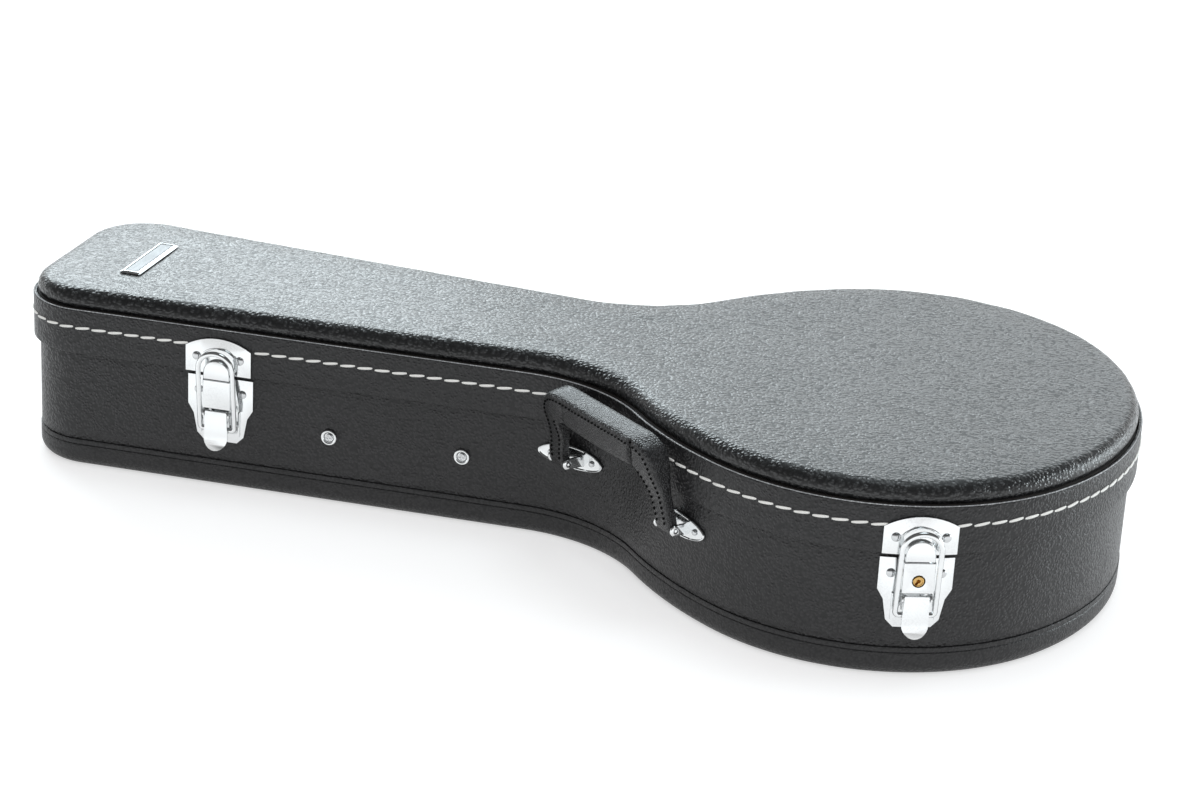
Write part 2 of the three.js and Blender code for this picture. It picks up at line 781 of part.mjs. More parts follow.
function makeKeeper(latch) {
  const onWall = (thickness) => sheet(latch, 0, thickness, latchWidth / 2 + overrun, 0, bandTop);
  const plate = common(extrude(makeKeeperShape(), -reach, reach, cornerSteps), onWall(latchPlateThickness));
  const low = splitHeight - bossDrop;
  const arch = new THREE.Shape();
  arch.moveTo(-bossHalfWidth, low);
  arch.lineTo(bossHalfWidth, low);
  arch.absarc(0, low + bossStraight, bossHalfWidth, 0, Math.PI, false);
  arch.lineTo(-bossHalfWidth, low);
  const rootOut = keeperOut - latchPlateThickness / 2;
  const boss = bevelled(arch, rootOut, keeperOut + bossDepth, bossBevel, cornerSteps);
  const ridge = new THREE.Shape();
  const start = Math.PI / 2 - radians(ridgeSpan);
  const end = Math.PI / 2 + radians(ridgeSpan);
  const ridgeHeight = splitHeight + ridgeCentreRise;
  ridge.absarc(0, ridgeHeight, ridgeInnerRadius + ridgeWidth, start, end, false);
  ridge.absarc(0, ridgeHeight, ridgeInnerRadius, end, start, true);
  const raised = onWall(latchPlateThickness + ridgeRise);
  return join(plate, boss, common(extrude(ridge, -reach, reach, cornerSteps), raised));
}

function makeLatchPlateShape() {
  const half = latchWidth / 2;
  const top = splitHeight - latchPlateTop;
  const foot = bindingHeight + latchPlateFootRise;
  const lower = foot + latchPlateLeg;
  const notch = lower + latchPlateNotch;
  const right = [
    [half, top],
    [half, notch],
    [latchPlateLower, lower],
    [latchPlateFoot, foot + latchFootCorner],
    [latchPlateFoot - latchFootCorner, foot],
  ];
  const left = right.map(([x, y]) => [-x, y]).reverse();
  return polygon([...left, ...right].reverse());
}

function upright(points, from, to) {
  // A side view given as [out, up], as thick as from one place to another along the wall.
  const shape = polygon(points.map(([out, up]) => [-out, up]));
  return extrude(shape, from, to).rotateY(Math.PI / 2);
}

function makeLatchPlate(latch) {
  const onWall = (thickness) => sheet(latch, lidOverhang, thickness, latchWidth / 2 + overrun, 0, bandTop);
  const plate = common(extrude(makeLatchPlateShape(), -reach, reach), onWall(latchPlateThickness));
  const rootOut = fitGap + latchPlateThickness / 2;
  const housingTop = splitHeight - housingTopDrop;
  const housing = polygon([
    [-housingHalfWidth, housingTop - housingHeight],
    [housingHalfWidth, housingTop - housingHeight],
    [housingHalfWidth, housingTop],
    [-housingHalfWidth, housingTop],
  ]);
  const pieces = [bevelled(housing, rootOut, housingDepth, housingBevel)];
  for (const side of [-1, 1]) {
    const earFrom = side > 0 ? earOuter - earThickness : -earOuter;
    const ear = [
      [rootOut, leverPinHeight - earRadius],
      ...arcPoints([leverPinOut, leverPinHeight], earRadius, -Math.PI / 2, Math.PI / 2, edgeSteps),
      [rootOut, leverPinHeight + earRadius],
    ];
    pieces.push(upright(ear, earFrom, earFrom + earThickness));
    const guardFrom = side > 0 ? guardInner : -guardInner - guardWidth;
    const guardLow = leverPinHeight - guardHeight;
    const guard = box(guardFrom, guardFrom + guardWidth, guardLow, leverPinHeight, -reach, reach);
    pieces.push(common(guard, onWall(latchPlateThickness + guardRise)));
  }
  const whole = join(plate, ...pieces);
  const pinHole = rod("x", leverPinRadius + runningGap, -latchWidth, latchWidth, leverPinPlace);
  if (!latch.hasLock) {
    return cut(whole, pinHole);
  }
  const lockHeight = housingTop - lockDrop;
  const bore = rod("z", lockRadius + lockGap, housingDepth - lockDepth, reach, [0, lockHeight]);
  return cut(whole, pinHole, bore);
}

function makeLever() {
  const face = leverFaceOut;
  const back = face - leverThickness;
  const top = leverPinHeight + leverTopRise;
  const bend = leverPinHeight - leverStraight;
  const tip = leverPinHeight - leverLength;
  const curve = (out) => {
    return shares(curveSteps).map((share) => [out + leverCurl * share ** 2, bend + (tip - bend) * share]);
  };
  const side = [[back, top], [face, top], ...curve(face), ...curve(back).reverse()];
  const strip = upright(side, -leverHalfWidth, leverHalfWidth);
  const plan = new THREE.Shape();
  plan.moveTo(-leverTopHalf, top + overrun);
  plan.lineTo(-leverHalfWidth, tip + leverHalfWidth);
  plan.absarc(0, tip + leverHalfWidth, leverHalfWidth, Math.PI, 2 * Math.PI, false);
  plan.lineTo(leverTopHalf, top + overrun);
  const tongue = common(strip, extrude(plan, 0, reach, cornerSteps));
  const cheekBack = back - cheekDepth;
  const endHeight = leverPinHeight - bailEndDrop;
  const cheekLow = endHeight - bailWire - cheekThickness;
  const cheekFront = back + leverThickness / 2;
  const cheek = [[cheekBack, cheekLow], [cheekFront, cheekLow], [cheekFront, top]];
  const upperCentre = [leverPinOut, leverPinHeight];
  const upper = arcPoints(upperCentre, leverPinOut - cheekBack, Math.PI / 2, Math.PI, edgeSteps);
  const outlineOfCheek = [...cheek, [leverPinOut, top], ...upper.filter(([, height]) => height < top)];
  const left = upright(outlineOfCheek, -leverTopHalf, cheekThickness - leverTopHalf);
  const right = upright(outlineOfCheek, leverTopHalf - cheekThickness, leverTopHalf);
  const pinHole = rod("x", leverPinRadius + runningGap, -latchWidth, latchWidth, leverPinPlace);
  const bailHole = rod("x", bailWire + bailHoleGap, -latchWidth, latchWidth, [endHeight, bailEndOut]);
  return cut(join(tongue, left, right), pinHole, bailHole);
}

// A bent wire: two legs that lean out from the lever to the hook, an arch between them and turned-in ends.
function makeBail() {
  const endHeight = leverPinHeight - bailEndDrop;
  const archHeight = splitHeight + bailArchRise;
  const slope = (bailTopOut - bailEndOut) / (archHeight - endHeight);
  const at = (x, height) => new THREE.Vector3(x, height, bailEndOut + slope * (height - endHeight));
  const half = bailHalfWidth;
  const arch = arcPoints([0, archHeight], half, 0, Math.PI, cornerSteps + edgeSteps);
  const bend = bailWire;
  const corners = [
    at(half - bailGrip, endHeight),
    at(half - bend, endHeight),
    at(half, endHeight + bend),
    ...arch.map(([x, height]) => at(x, height)),
    at(-half, endHeight + bend),
    at(bend - half, endHeight),
    at(bailGrip - half, endHeight),
  ];
  return sweptWire(corners, bailWire, edgeSteps * 2);
}

// A round wire through the corners, mitred at each one.
function sweptWire(corners, radius, sides) {
  const rings = corners.map((corner, i) => {
    const back = corners[Math.max(i - 1, 0)];
    const ahead = corners[Math.min(i + 1, corners.length - 1)];
    const before = i > 0 ? corner.clone().sub(back).normalize() : ahead.clone().sub(corner).normalize();
    const after = i < corners.length - 1 ? ahead.clone().sub(corner).normalize() : before.clone();
    const along = before.clone().add(after).normalize();
    const normal = planeNormal.clone();
    const aside = normal.clone().cross(along).normalize();
    const stretch = 1 / Math.max(along.dot(before), sharpestMitre);
    return Array.from({ length: sides }, (_, k) => {
      const angle = ((k + 0.5) * 2 * Math.PI) / sides;
      const offset = aside.clone().multiplyScalar(Math.cos(angle) * radius * stretch);
      offset.addScaledVector(normal, Math.sin(angle) * radius);
      return corner.clone().add(offset).toArray();
    });
  });
  const index = [];
  for (let i = 0; i < rings.length - 1; i += 1) {
    for (let k = 0; k < sides; k += 1) {
      const next = (k + 1) % sides;
      index.push(i * sides + k, i * sides + next, (i + 1) * sides + next);
      index.push(i * sides + k, (i + 1) * sides + next, (i + 1) * sides + k);
    }
  }
  const last = (rings.length - 1) * sides;
  for (let k = 1; k < sides - 1; k += 1) {
    index.push(0, k + 1, k);
    index.push(last, last + k, last + k + 1);
  }
  return indexed(rings, index);
}

const bailHeight = bailArchRise + leverPinDrop + bailEndDrop;
const planeNormal = new THREE.Vector3(0, bailEndOut - bailTopOut, bailHeight).normalize();

function makeRivet(radius, rise) {
  const rounding = rivetRounding.map(([across, along]) => [radius * across, rise * along]);
  const profile = [[0, 0], [radius, 0], ...rounding, [0, rise]];
  return outwardLathe(profile.map(([x, out]) => new THREE.Vector2(x, out)));
}

// A rivet head that sits on a plate which follows a curved or straight wall.
function rivetFrame(wall, inset, aside, height, plateThickness) {
  const out = new THREE.Matrix4().makeTranslation(0, height, plateThickness + 2 * fitGap);
  if (!wall.arc) {
    const along = new THREE.Matrix4().makeTranslation(aside, 0, 0);
    return neckFrame(wall.place, inset).multiply(along).multiply(out);
  }
  const radius = wall.arc.radius - wall.arc.hollow * inset;
  const angle = wall.angle + (wall.arc.hollow * aside) / radius;
  return arcFrame(wall.arc, angle, inset).multiply(out);
}

function makeLock() {
  const height = splitHeight - housingTopDrop - lockDrop;
  const low = housingDepth - lockDepth + fitGap;
  const high = housingDepth + lockProud;
  const plug = rod("z", lockRadius, low, high, [0, height]);
  const dish = rod("z", lockRadius - lockRim, high - lockProud, high + overrun, [0, height]);
  const hole = rod("z", keyholeRadius, low + overrun, high + overrun, [0, height]);
  const half = keySlotWidth / 2;
  const slot = box(-half, half, height - keySlotLength, height, low + overrun, high + overrun);
  return cut(plug, dish, hole, slot);
}

const latches = [
  { name: "body", arc: sideArc, angle: -radians(bodyLatchAngle), hasLock: true },
  { name: "neck", place: neckLatchPlace, hasLock: false },
];

function frameOn(wall, inset) {
  return wall.arc ? arcFrame(wall.arc, wall.angle, inset) : neckFrame(wall.place, inset);
}

for (const latch of latches) {
  const { name } = latch;
  const upper = group(frameOn(latch, 0));
  const lower = group(frameOn(latch, lidOverhang));
  part(`${name}_keeper`, makeKeeper(latch), "chrome", upper);
  part(`${name}_latch_plate`, makeLatchPlate(latch), "chrome", lower);
  part(`${name}_lever`, makeLever(), "chrome", lower);
  part(`${name}_bail`, makeBail(), "chrome", lower);
  const pinHalf = earOuter + runningGap;
  part(`${name}_lever_pin`, rod("x", leverPinRadius, -pinHalf, pinHalf, leverPinPlace), "steel", lower);
  if (latch.hasLock) {
    part(`${name}_lock`, makeLock(), "brass", lower);
  }
  for (const [side, word] of [[-1, "left"], [1, "right"]]) {
    const high = splitHeight + keeperRivetRise;
    const low = splitHeight - plateRivetDrop;
    const onKeeper = rivetFrame(latch, 0, side * keeperRivetAside, high, latchPlateThickness);
    const onPlate = rivetFrame(latch, lidOverhang, side * plateRivetAside, low, latchPlateThickness);
    part(`${name}_keeper_rivet_${word}`, makeRivet(rivetRadius, rivetRise), "steel", group(onKeeper));
    part(`${name}_plate_rivet_${word}`, makeRivet(rivetRadius, rivetRise), "steel", group(onPlate));
  }
}

// Handle
const brackets = [
  { name: "left", arc: waistArc, angle: radians(leftBracketAngle) },
  { name: "right", arc: shoulderArc, angle: radians(rightBracketAngle) },
];
const bracketPoints = brackets.map(({ arc, angle }) => {
  return pointAt(arc.centre, arc.radius - arc.hollow * lidOverhang, angle);
});
const handleMiddle = bracketPoints[0].clone().add(bracketPoints[1]).divideScalar(2);
const handleAlong = bracketPoints[1].clone().sub(bracketPoints[0]);
const pinSpacing = handleAlong.length();
const handleFrame = wallFrame(handleMiddle.x, handleMiddle.y, handleAlong.y, -handleAlong.x);
const handlePinHeight = splitHeight - handlePinDrop;
const handleTopHalf = (pinSpacing + legWidth) / 2 - legSlope;
const handlePinOut = bandReach() + handleClearance;

// How far the band of the lid reaches out behind the handle, in the frame of the handle.
function bandReach() {
  const inHandle = handleFrame.clone().invert();
  const half = (pinSpacing + legWidth) / 2;
  const face = outline(0).map(([x, y]) => new THREE.Vector3(x, y, 0).applyMatrix4(inHandle));
  const behind = [];
  face.forEach((start, i) => {
    const end = face[(i + 1) % face.length];
    for (const share of shares(bandReachSteps)) {
      const { x, z } = start.clone().lerp(end, share);
      if (Math.abs(x) < half && z > -pinSpacing) {
        behind.push(z);
      }
    }
  });
  return Math.max(...behind);
}

function makeGrip() {
  const foot = pinSpacing / 2;
  const low = -legDepth / 2;
  const under = handleHeight - gripHeight;
  const outerFoot = foot + legWidth / 2;
  const innerFoot = foot - legWidth / 2;
  const innerTop = handleTopHalf - legWidth;
  const corner = gripOuterCorner;
  const hollow = gripInnerCorner;
  const shape = new THREE.Shape();
  shape.moveTo(outerFoot, low);
  shape.lineTo(outerFoot, legFoot);
  shape.lineTo(handleTopHalf, handleHeight - corner);
  shape.quadraticCurveTo(handleTopHalf, handleHeight, handleTopHalf - corner, handleHeight);
  shape.lineTo(corner - handleTopHalf, handleHeight);
  shape.quadraticCurveTo(-handleTopHalf, handleHeight, -handleTopHalf, handleHeight - corner);
  shape.lineTo(-outerFoot, legFoot);
  shape.lineTo(-outerFoot, low);
  shape.lineTo(-innerFoot, low);
  shape.lineTo(-innerFoot, legFoot);
  shape.lineTo(-innerTop, under - hollow);
  shape.quadraticCurveTo(-innerTop, under, hollow - innerTop, under);
  shape.lineTo(innerTop - hollow, under);
  shape.quadraticCurveTo(innerTop, under, innerTop, under - hollow);
  shape.lineTo(innerFoot, legFoot);
  shape.lineTo(innerFoot, low);
  const front = extrude(shape, -gripDepth, gripDepth, edgeSteps);
  const half = gripDepth / 2;
  const leg = legDepth / 2;
  const side = [
    ...arcPoints([0, 0], leg, Math.PI, 2 * Math.PI, edgeSteps * 2),
    [leg, legStraight],
    [half, under],
    [half, handleHeight - gripEdge],
    [half - gripEdge, handleHeight],
    [gripEdge - half, handleHeight],
    [-half, handleHeight - gripEdge],
    [-half, under],
    [-leg, legStraight],
  ];
  const profile = upright(side, -pinSpacing, pinSpacing);
  const pinHole = rod("x", handlePinRadius + pinHoleGap, -pinSpacing, pinSpacing, [0, 0]);
  const grip = cut(common(front, profile), pinHole);
  return grip.rotateX(radians(handleLean)).translate(0, handlePinHeight, handlePinOut);
}

function makeBracketShape(trim) {
  const shape = new THREE.Shape();
  const half = bracketLength / 2 - trim;
  shape.absellipse(0, handlePinHeight, half, bracketHalfHeight - trim, 0, 2 * Math.PI, false, 0);
  return shape;
}

// The case wall in the frame of the handle, a little larger than the wall, to trim what stands on it.
function wallInFrame(frame, inset) {
  const shape = polygon(outline(inset - fitGap));
  return extrude(shape, -overrun, bandTop, waistSteps).applyMatrix4(frame.clone().invert());
}

function makeBracket(bracket, place) {
  const inHandle = handleFrame.clone().invert().multiply(frameOn(bracket, lidOverhang));
  const halfLength = bracketLength / 2 + overrun;
  const onWall = (thickness) => sheet(bracket, lidOverhang, thickness, halfLength, 0, bandTop);
  const plate = common(extrude(makeBracketShape(0), -reach, reach, cornerSteps), onWall(bracketThickness));
  const rimShape = makeBracketShape(0);
  rimShape.holes.push(new THREE.Path(makeBracketShape(bracketRim).getPoints(cornerSteps)));
  const raised = onWall(bracketThickness + bracketRimRise);
  const rim = common(extrude(rimShape, -reach, reach, cornerSteps), raised);
  const base = join(plate, rim).applyMatrix4(inHandle);
  const lugs = [-1, 1].map((side) => {
    const middle = place + side * (legWidth / 2 + lugGap + lugThickness / 2);
    const centre = [handlePinOut, handlePinHeight];
    const round = arcPoints(centre, lugRadius, -Math.PI / 2, Math.PI / 2, edgeSteps);
    const points = [[-reach, handlePinHeight - lugRadius], ...round, [-reach, handlePinHeight + lugRadius]];
    return upright(points, middle - lugThickness / 2, middle + lugThickness / 2);
  });
  const trimmed = lugs.map((lug) => cut(lug, wallInFrame(handleFrame, lidOverhang)));
  const radius = handlePinRadius + runningGap;
  const hole = rod("x", radius, place - legWidth, place + legWidth, [handlePinHeight, handlePinOut]);
  return cut(join(base, ...trimmed), hole);
}

const handleGroup = group(handleFrame);
part("handle_grip", makeGrip(), "leather", handleGroup);
brackets.forEach((bracket, i) => {
  const place = (i - 1 / 2) * pinSpacing;
  const pinHalf = legWidth / 2 + lugGap + lugThickness + runningGap;
  const pin = rod("x", handlePinRadius, place - pinHalf, place + pinHalf, [handlePinHeight, handlePinOut]);
  part(`${bracket.name}_bracket`, makeBracket(bracket, place), "chrome", handleGroup);
  part(`${bracket.name}_handle_pin`, pin, "steel", handleGroup);
  for (const [side, word] of [[-1, "outer"], [1, "inner"]]) {
    const aside = side * bracketRivetAside;
    const spot = group(rivetFrame(bracket, lidOverhang, aside, handlePinHeight, bracketThickness));
    part(`${bracket.name}_bracket_rivet_${word}`, makeRivet(bracketRivetRadius, rivetRise), "steel", spot);
  }
});

// Hinges on the far side
const hingeLine = bodyHalfWidth + hingeOut;
const farSideArc = { centre: new THREE.Vector2(0, -sideCentre.y), radius: sideRadius, hollow: 1 };

function knuckleSpans(middle) {
  const third = hingeWidth / 3;
  const start = middle - hingeWidth / 2;
  const spans = [0, 1, 2].map((i) => [start + i * third, start + (i + 1) * third]);
  return spans.map(([from, to]) => [from + knuckleGap / 2, to - knuckleGap / 2]);
}

function makeLeaf(middle, own, inset, direction) {
  const wall = { arc: farSideArc, angle: Math.acos(middle / sideRadius) };
  const frame = frameOn(wall, inset);
  const half = hingeWidth / 2;
  const near = splitHeight + direction * (fitGap + webThickness);
  const far = splitHeight + direction * (fitGap + leafHeight);
  const low = Math.min(near, far);
  const high = Math.max(near, far);
  const bent = sheet(wall, inset, leafThickness, half + overrun, low - webThickness, high);
  const edge = splitHeight + direction * fitGap;
  const window = box(-half, half, Math.min(edge, far), Math.max(edge, far), -reach, reach);
  const leaf = common(bent, window).applyMatrix4(frame);
  const shell = extrude(polygon(outline(inset - fitGap)), -overrun, lidTopHeight, waistSteps);
  const webLow = Math.min(edge, edge + direction * webThickness);
  const inward = bodyHalfWidth - reach;
  const webs = own.map(([from, to]) => box(from, to, inward, hingeLine, webLow, webLow + webThickness));
  const barrels = own.map(([from, to]) => rod("x", knuckleRadius, from, to, [hingeLine, splitHeight]));
  const heads = [-1, 1].map((side) => {
    const head = makeRivet(leafRivetRadius, leafRivetRise + leafThickness);
    head.translate(side * leafRivetAside, (low + high) / 2, fitGap + leafThickness / 2);
    return head.applyMatrix4(frame);
  });
  const trimmed = webs.map((web) => cut(web, shell));
  const whole = join(leaf, ...trimmed, ...barrels, ...heads.map((head) => cut(head, shell)));
  const first = own[0][0] - hingeWidth;
  const last = first + 3 * hingeWidth;
  const bore = rod("x", hingePinRadius + runningGap, first, last, [hingeLine, splitHeight]);
  return cut(whole, bore);
}

for (const [name, place] of [["head_side", -hingePlace], ["tail_side", hingePlace]]) {
  const [first, second, third] = knuckleSpans(place);
  part(`${name}_hinge_upper_leaf`, makeLeaf(place, [second], 0, 1), "chrome");
  part(`${name}_hinge_lower_leaf`, makeLeaf(place, [first, third], lidOverhang, -1), "chrome");
  const half = hingeWidth / 2 + hingePinHead;
  const pin = rod("x", hingePinRadius, place - half, place + half, [hingeLine, splitHeight]);
  part(`${name}_hinge_pin`, pin, "steel");
}

export default mandolinCase;
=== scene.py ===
import json
import bmesh
import bpy
from math import asin, atan2, copysign, cos, dist, exp, pi, radians, sin, sqrt, tan
from mathutils import Matrix, Vector, noise

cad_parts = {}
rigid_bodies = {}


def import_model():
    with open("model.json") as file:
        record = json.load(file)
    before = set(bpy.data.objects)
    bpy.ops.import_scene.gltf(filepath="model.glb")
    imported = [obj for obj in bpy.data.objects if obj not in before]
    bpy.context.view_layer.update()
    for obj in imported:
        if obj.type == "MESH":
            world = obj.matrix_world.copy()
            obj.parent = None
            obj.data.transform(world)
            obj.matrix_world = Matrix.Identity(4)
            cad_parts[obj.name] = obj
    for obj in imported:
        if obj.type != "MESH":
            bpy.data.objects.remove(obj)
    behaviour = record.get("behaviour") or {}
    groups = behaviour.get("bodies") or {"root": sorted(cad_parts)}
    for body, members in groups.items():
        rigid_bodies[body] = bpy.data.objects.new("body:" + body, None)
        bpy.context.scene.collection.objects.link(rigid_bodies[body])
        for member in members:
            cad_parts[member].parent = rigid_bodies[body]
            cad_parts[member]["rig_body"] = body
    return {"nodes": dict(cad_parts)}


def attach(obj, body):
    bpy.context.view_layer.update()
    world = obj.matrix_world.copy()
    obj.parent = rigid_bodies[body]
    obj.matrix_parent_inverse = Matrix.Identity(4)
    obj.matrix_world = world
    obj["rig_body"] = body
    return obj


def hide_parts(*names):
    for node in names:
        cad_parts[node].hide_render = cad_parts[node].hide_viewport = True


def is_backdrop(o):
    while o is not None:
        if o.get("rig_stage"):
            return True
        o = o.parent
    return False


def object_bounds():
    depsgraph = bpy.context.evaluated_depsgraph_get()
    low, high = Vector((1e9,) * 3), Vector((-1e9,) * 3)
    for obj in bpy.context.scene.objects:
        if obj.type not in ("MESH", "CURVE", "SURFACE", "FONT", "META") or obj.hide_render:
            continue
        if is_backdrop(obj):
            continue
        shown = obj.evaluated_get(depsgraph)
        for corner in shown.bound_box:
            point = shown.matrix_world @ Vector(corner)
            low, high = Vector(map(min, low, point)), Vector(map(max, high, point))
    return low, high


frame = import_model()
cad_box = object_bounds()

# Sizes in millimetres and degrees, the same as in the part
MM = 0.001
BODY_HALF_WIDTH = 170.0
SIDE_CENTRE_ASIDE = 23.4
TAIL_FLATTENING = 40.9
SHOULDER_FLATTENING = 120.1
SHOULDER_START = 120.7
WAIST_RADIUS = 99.3
HEAD_END = 568.0
HEAD_HALF_WIDTH = 80.0
NECK_TAPER = 3.3
HEAD_CORNER_RADIUS = 42.7
BINDING_TOP = 19.6
SPLIT = 81.7
BAND_TOP = 111.5
LID_TOP = 124.0
OVERHANG = 4.05
WALL_INSIDE = 10.05
BAND_THICKNESS = 2.4
LINER_INSET = 10.35
PAD_INSET = 13.65
FLOOR_TOP = 6.0
PAD_TOP = 12.3
LINER_TOP = 88.7
LINING_BOTTOM = 99.0
LID_WALL_TOP = 106.05
FIT_GAP = 0.3
OUTLINE_SPACING = 4.5
NECK_SPACING = 9.0
SAME_PLACE = 0.01


# Outline of the case seen from above, on the face of the lid band
def place_at(centre, distance, angle):
    return (centre[0] + distance * cos(angle), centre[1] + distance * sin(angle))


taper = radians(NECK_TAPER)
neck_along = (cos(taper), sin(taper))
neck_out = (sin(taper), -cos(taper))
side_radius = BODY_HALF_WIDTH - SIDE_CENTRE_ASIDE
tail_radius = side_radius + TAIL_FLATTENING
shoulder_radius = side_radius + SHOULDER_FLATTENING
tail_sweep = asin(SIDE_CENTRE_ASIDE / TAIL_FLATTENING)
side_centre = (0.0, -SIDE_CENTRE_ASIDE)
tail_centre = place_at(side_centre, -TAIL_FLATTENING, -tail_sweep)
shoulder_centre = place_at(side_centre, -SHOULDER_FLATTENING, -radians(SHOULDER_START))


def find_waist_centre():
    start = (-HEAD_END + neck_out[0] * WAIST_RADIUS, -HEAD_HALF_WIDTH + neck_out[1] * WAIST_RADIUS)
    away = (start[0] - shoulder_centre[0], start[1] - shoulder_centre[1])
    along = away[0] * neck_along[0] + away[1] * neck_along[1]
    apart = shoulder_radius + WAIST_RADIUS
    forward = -along - sqrt(along**2 - away[0] ** 2 - away[1] ** 2 + apart**2)
    return (start[0] + neck_along[0] * forward, start[1] + neck_along[1] * forward)


def find_corner_centre():
    aside = HEAD_CORNER_RADIUS * (1 + neck_out[0]) / -neck_out[1]
    return (-HEAD_END + HEAD_CORNER_RADIUS, aside - HEAD_HALF_WIDTH)


def angle_of(x, y):
    return atan2(y, x) % (2 * pi)


waist_centre = find_waist_centre()
neck_angle = angle_of(*neck_out)
waist_end = angle_of(shoulder_centre[0] - waist_centre[0], shoulder_centre[1] - waist_centre[1])
shoulder_begin = (waist_end + pi) % (2 * pi)
side_begin = 2 * pi - radians(SHOULDER_START)
side_end = 2 * pi - tail_sweep
# Each arc: centre, radius, 1 for a bulge or -1 for a hollow, first and last angle
corner_arc = (find_corner_centre(), HEAD_CORNER_RADIUS, 1, pi, neck_angle)
waist_arc = (waist_centre, WAIST_RADIUS, -1, neck_angle - pi, waist_end)
shoulder_arc = (shoulder_centre, shoulder_radius, 1, shoulder_begin, side_begin)
side_arc = (side_centre, side_radius, 1, side_begin, side_end)
tail_arc = (tail_centre, tail_radius, 1, side_end, 2 * pi)


def near_half():
    """Points of the near half from the head end to the tail, each (x, y, out x, out y)."""
    points = []
    for centre, radius, hollow, start, end in (corner_arc, waist_arc, shoulder_arc, side_arc, tail_arc):
        steps = max(3, round(radius * abs(end - start) / OUTLINE_SPACING))
        angles = [start + (end - start) * i / steps for i in range(steps + 1)]
        outs = [(hollow * cos(angle), hollow * sin(angle)) for angle in angles]
        made = [place_at(centre, radius, angle) + out for angle, out in zip(angles, outs)]
        if points:
            last = points[-1]
            gap = dist(last[:2], made[0][:2])
            extra = int(gap / NECK_SPACING)
            for i in range(1, extra):
                points.append(tuple(a + (b - a) * i / extra for a, b in zip(last, made[0])))
            if gap < SAME_PLACE:
                made = made[1:]
        points.extend(made)
    points[-1] = (points[-1][0], 0.0, 1.0, 0.0)
    return points


near = near_half()
rim = near + [(x, -y, out_x, -out_y) for x, y, out_x, out_y in reversed(near[:-1])]
COLUMNS = len(near)
COUNT = len(rim)


def ring(inset, height):
    return [(x - out_x * inset, y - out_y * inset, height) for x, y, out_x, out_y in rim]


# Pieces
def link(obj):
    bpy.context.scene.collection.objects.link(obj)
    return obj


def applied(obj):
    """The mesh of an object with its modifiers applied."""
    bpy.context.view_layer.update()
    graph = bpy.context.evaluated_depsgraph_get()
    return bpy.data.meshes.new_from_object(obj.evaluated_get(graph))


def raw_mesh(name, vertices, edges, faces):
    """A mesh of points in millimetres."""
    mesh = bpy.data.meshes.new(name)
    mesh.from_pydata([tuple(c * MM for c in v) for v in vertices], edges, faces)
    return mesh


def finished(name, mesh, material, sharp=40.0):
    """A piece from a mesh: doubles merged, faces turned outwards, smooth up to the sharp angle."""
    form = bmesh.new()
    form.from_mesh(mesh)
    bmesh.ops.remove_doubles(form, verts=form.verts, dist=0.001 * MM)
    bmesh.ops.recalc_face_normals(form, faces=form.faces)
    form.to_mesh(mesh)
    form.free()
    mesh.materials.clear()
    mesh.materials.append(material)
    mesh.shade_smooth()
    mesh.set_sharp_from_angle(angle=radians(sharp))
    return link(bpy.data.objects.new(name, mesh))


def piece(name, vertices, faces, material, sharp=40.0):
    return finished(name, raw_mesh(name, vertices, [], faces), material, sharp)


def carried(obj, body, slot, *nodes):
    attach(obj, body)
    if nodes:
        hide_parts(*nodes)
    return obj


def part(name, form, material, body, slot, *nodes, sharp=40.0):
    """A piece that rides on a body, from a form of vertices and faces in millimetres."""
    return carried(piece(name, *form, material, sharp), body, slot, *nodes)


def skin(count, rows, closed=False, ends=False):
    """Faces between rings of points, for a closed row of rings or with flat ends where asked."""
    faces = []
    for i in range(rows if closed else rows - 1):
        low, high = i * count, (i + 1) % rows * count
        for k in range(count):
            n = (k + 1) % count
            faces.append((low + k, low + n, high + n, high + k))
    if ends:
        faces.append(tuple(range(count)))
        faces.append(tuple(range((rows - 1) * count, rows * count)))
    return faces


def hoop(profile):
    """A wall round the whole outline; the profile is its closed section as (inset, height)."""
    return [point for row in profile for point in ring(*row)], skin(COUNT, len(profile), closed=True)


def add_cap(vertices, faces, first, rows, height):
    """Closes a ring of points, which starts at index first, with a fine net across the outline."""
    net = []
    for i in range(COLUMNS - 1):
        far = first + COUNT - 1 - i
        (x, near_y), far_y = vertices[first + i][:2], vertices[far][1]
        ids = [first + i]
        for r in range(1, rows):
            y = near_y + (far_y - near_y) * r / rows
            ids.append(len(vertices))
            vertices.append((x, y, height(x, y)))
        net.append(ids + [far])
    for a, b in zip(net, net[1:]):
        faces.extend((a[r], a[r + 1], b[r + 1], b[r]) for r in range(rows))
    faces.extend((net[-1][r], net[-1][r + 1], first + COLUMNS - 1) for r in range(rows))


def board(profile, rows, low_shape=None, high_shape=None):
    """A board that fills the outline; the profile is its edge from the underside to the top."""
    vertices = [point for row in profile for point in ring(*row)]
    faces = skin(COUNT, len(profile))
    last = (len(profile) - 1) * COUNT
    level = lambda row: lambda x, y: row[1]
    add_cap(vertices, faces, 0, rows, low_shape or level(profile[0]))
    add_cap(vertices, faces, last, rows, high_shape or level(profile[-1]))
    return vertices, faces


def arc(x, z, radius, start, end, steps):
    """Points of an arc, with its angles in degrees."""
    made = []
    for i in range(steps + 1):
        angle = radians(start + (end - start) * i / steps)
        made.append((x + radius * cos(angle), z + radius * sin(angle)))
    return made


def rounded(inset0, inset1, low, high, radius, steps=4):
    """A rectangular section with round corners, as (inset, height)."""
    left, right, down, up = inset0 + radius, inset1 - radius, low + radius, high - radius
    corners = ((right, down, 270), (right, up, 0), (left, up, 90), (left, down, 180))
    return [point for x, z, start in corners for point in arc(x, z, radius, start, start + 90, steps)]


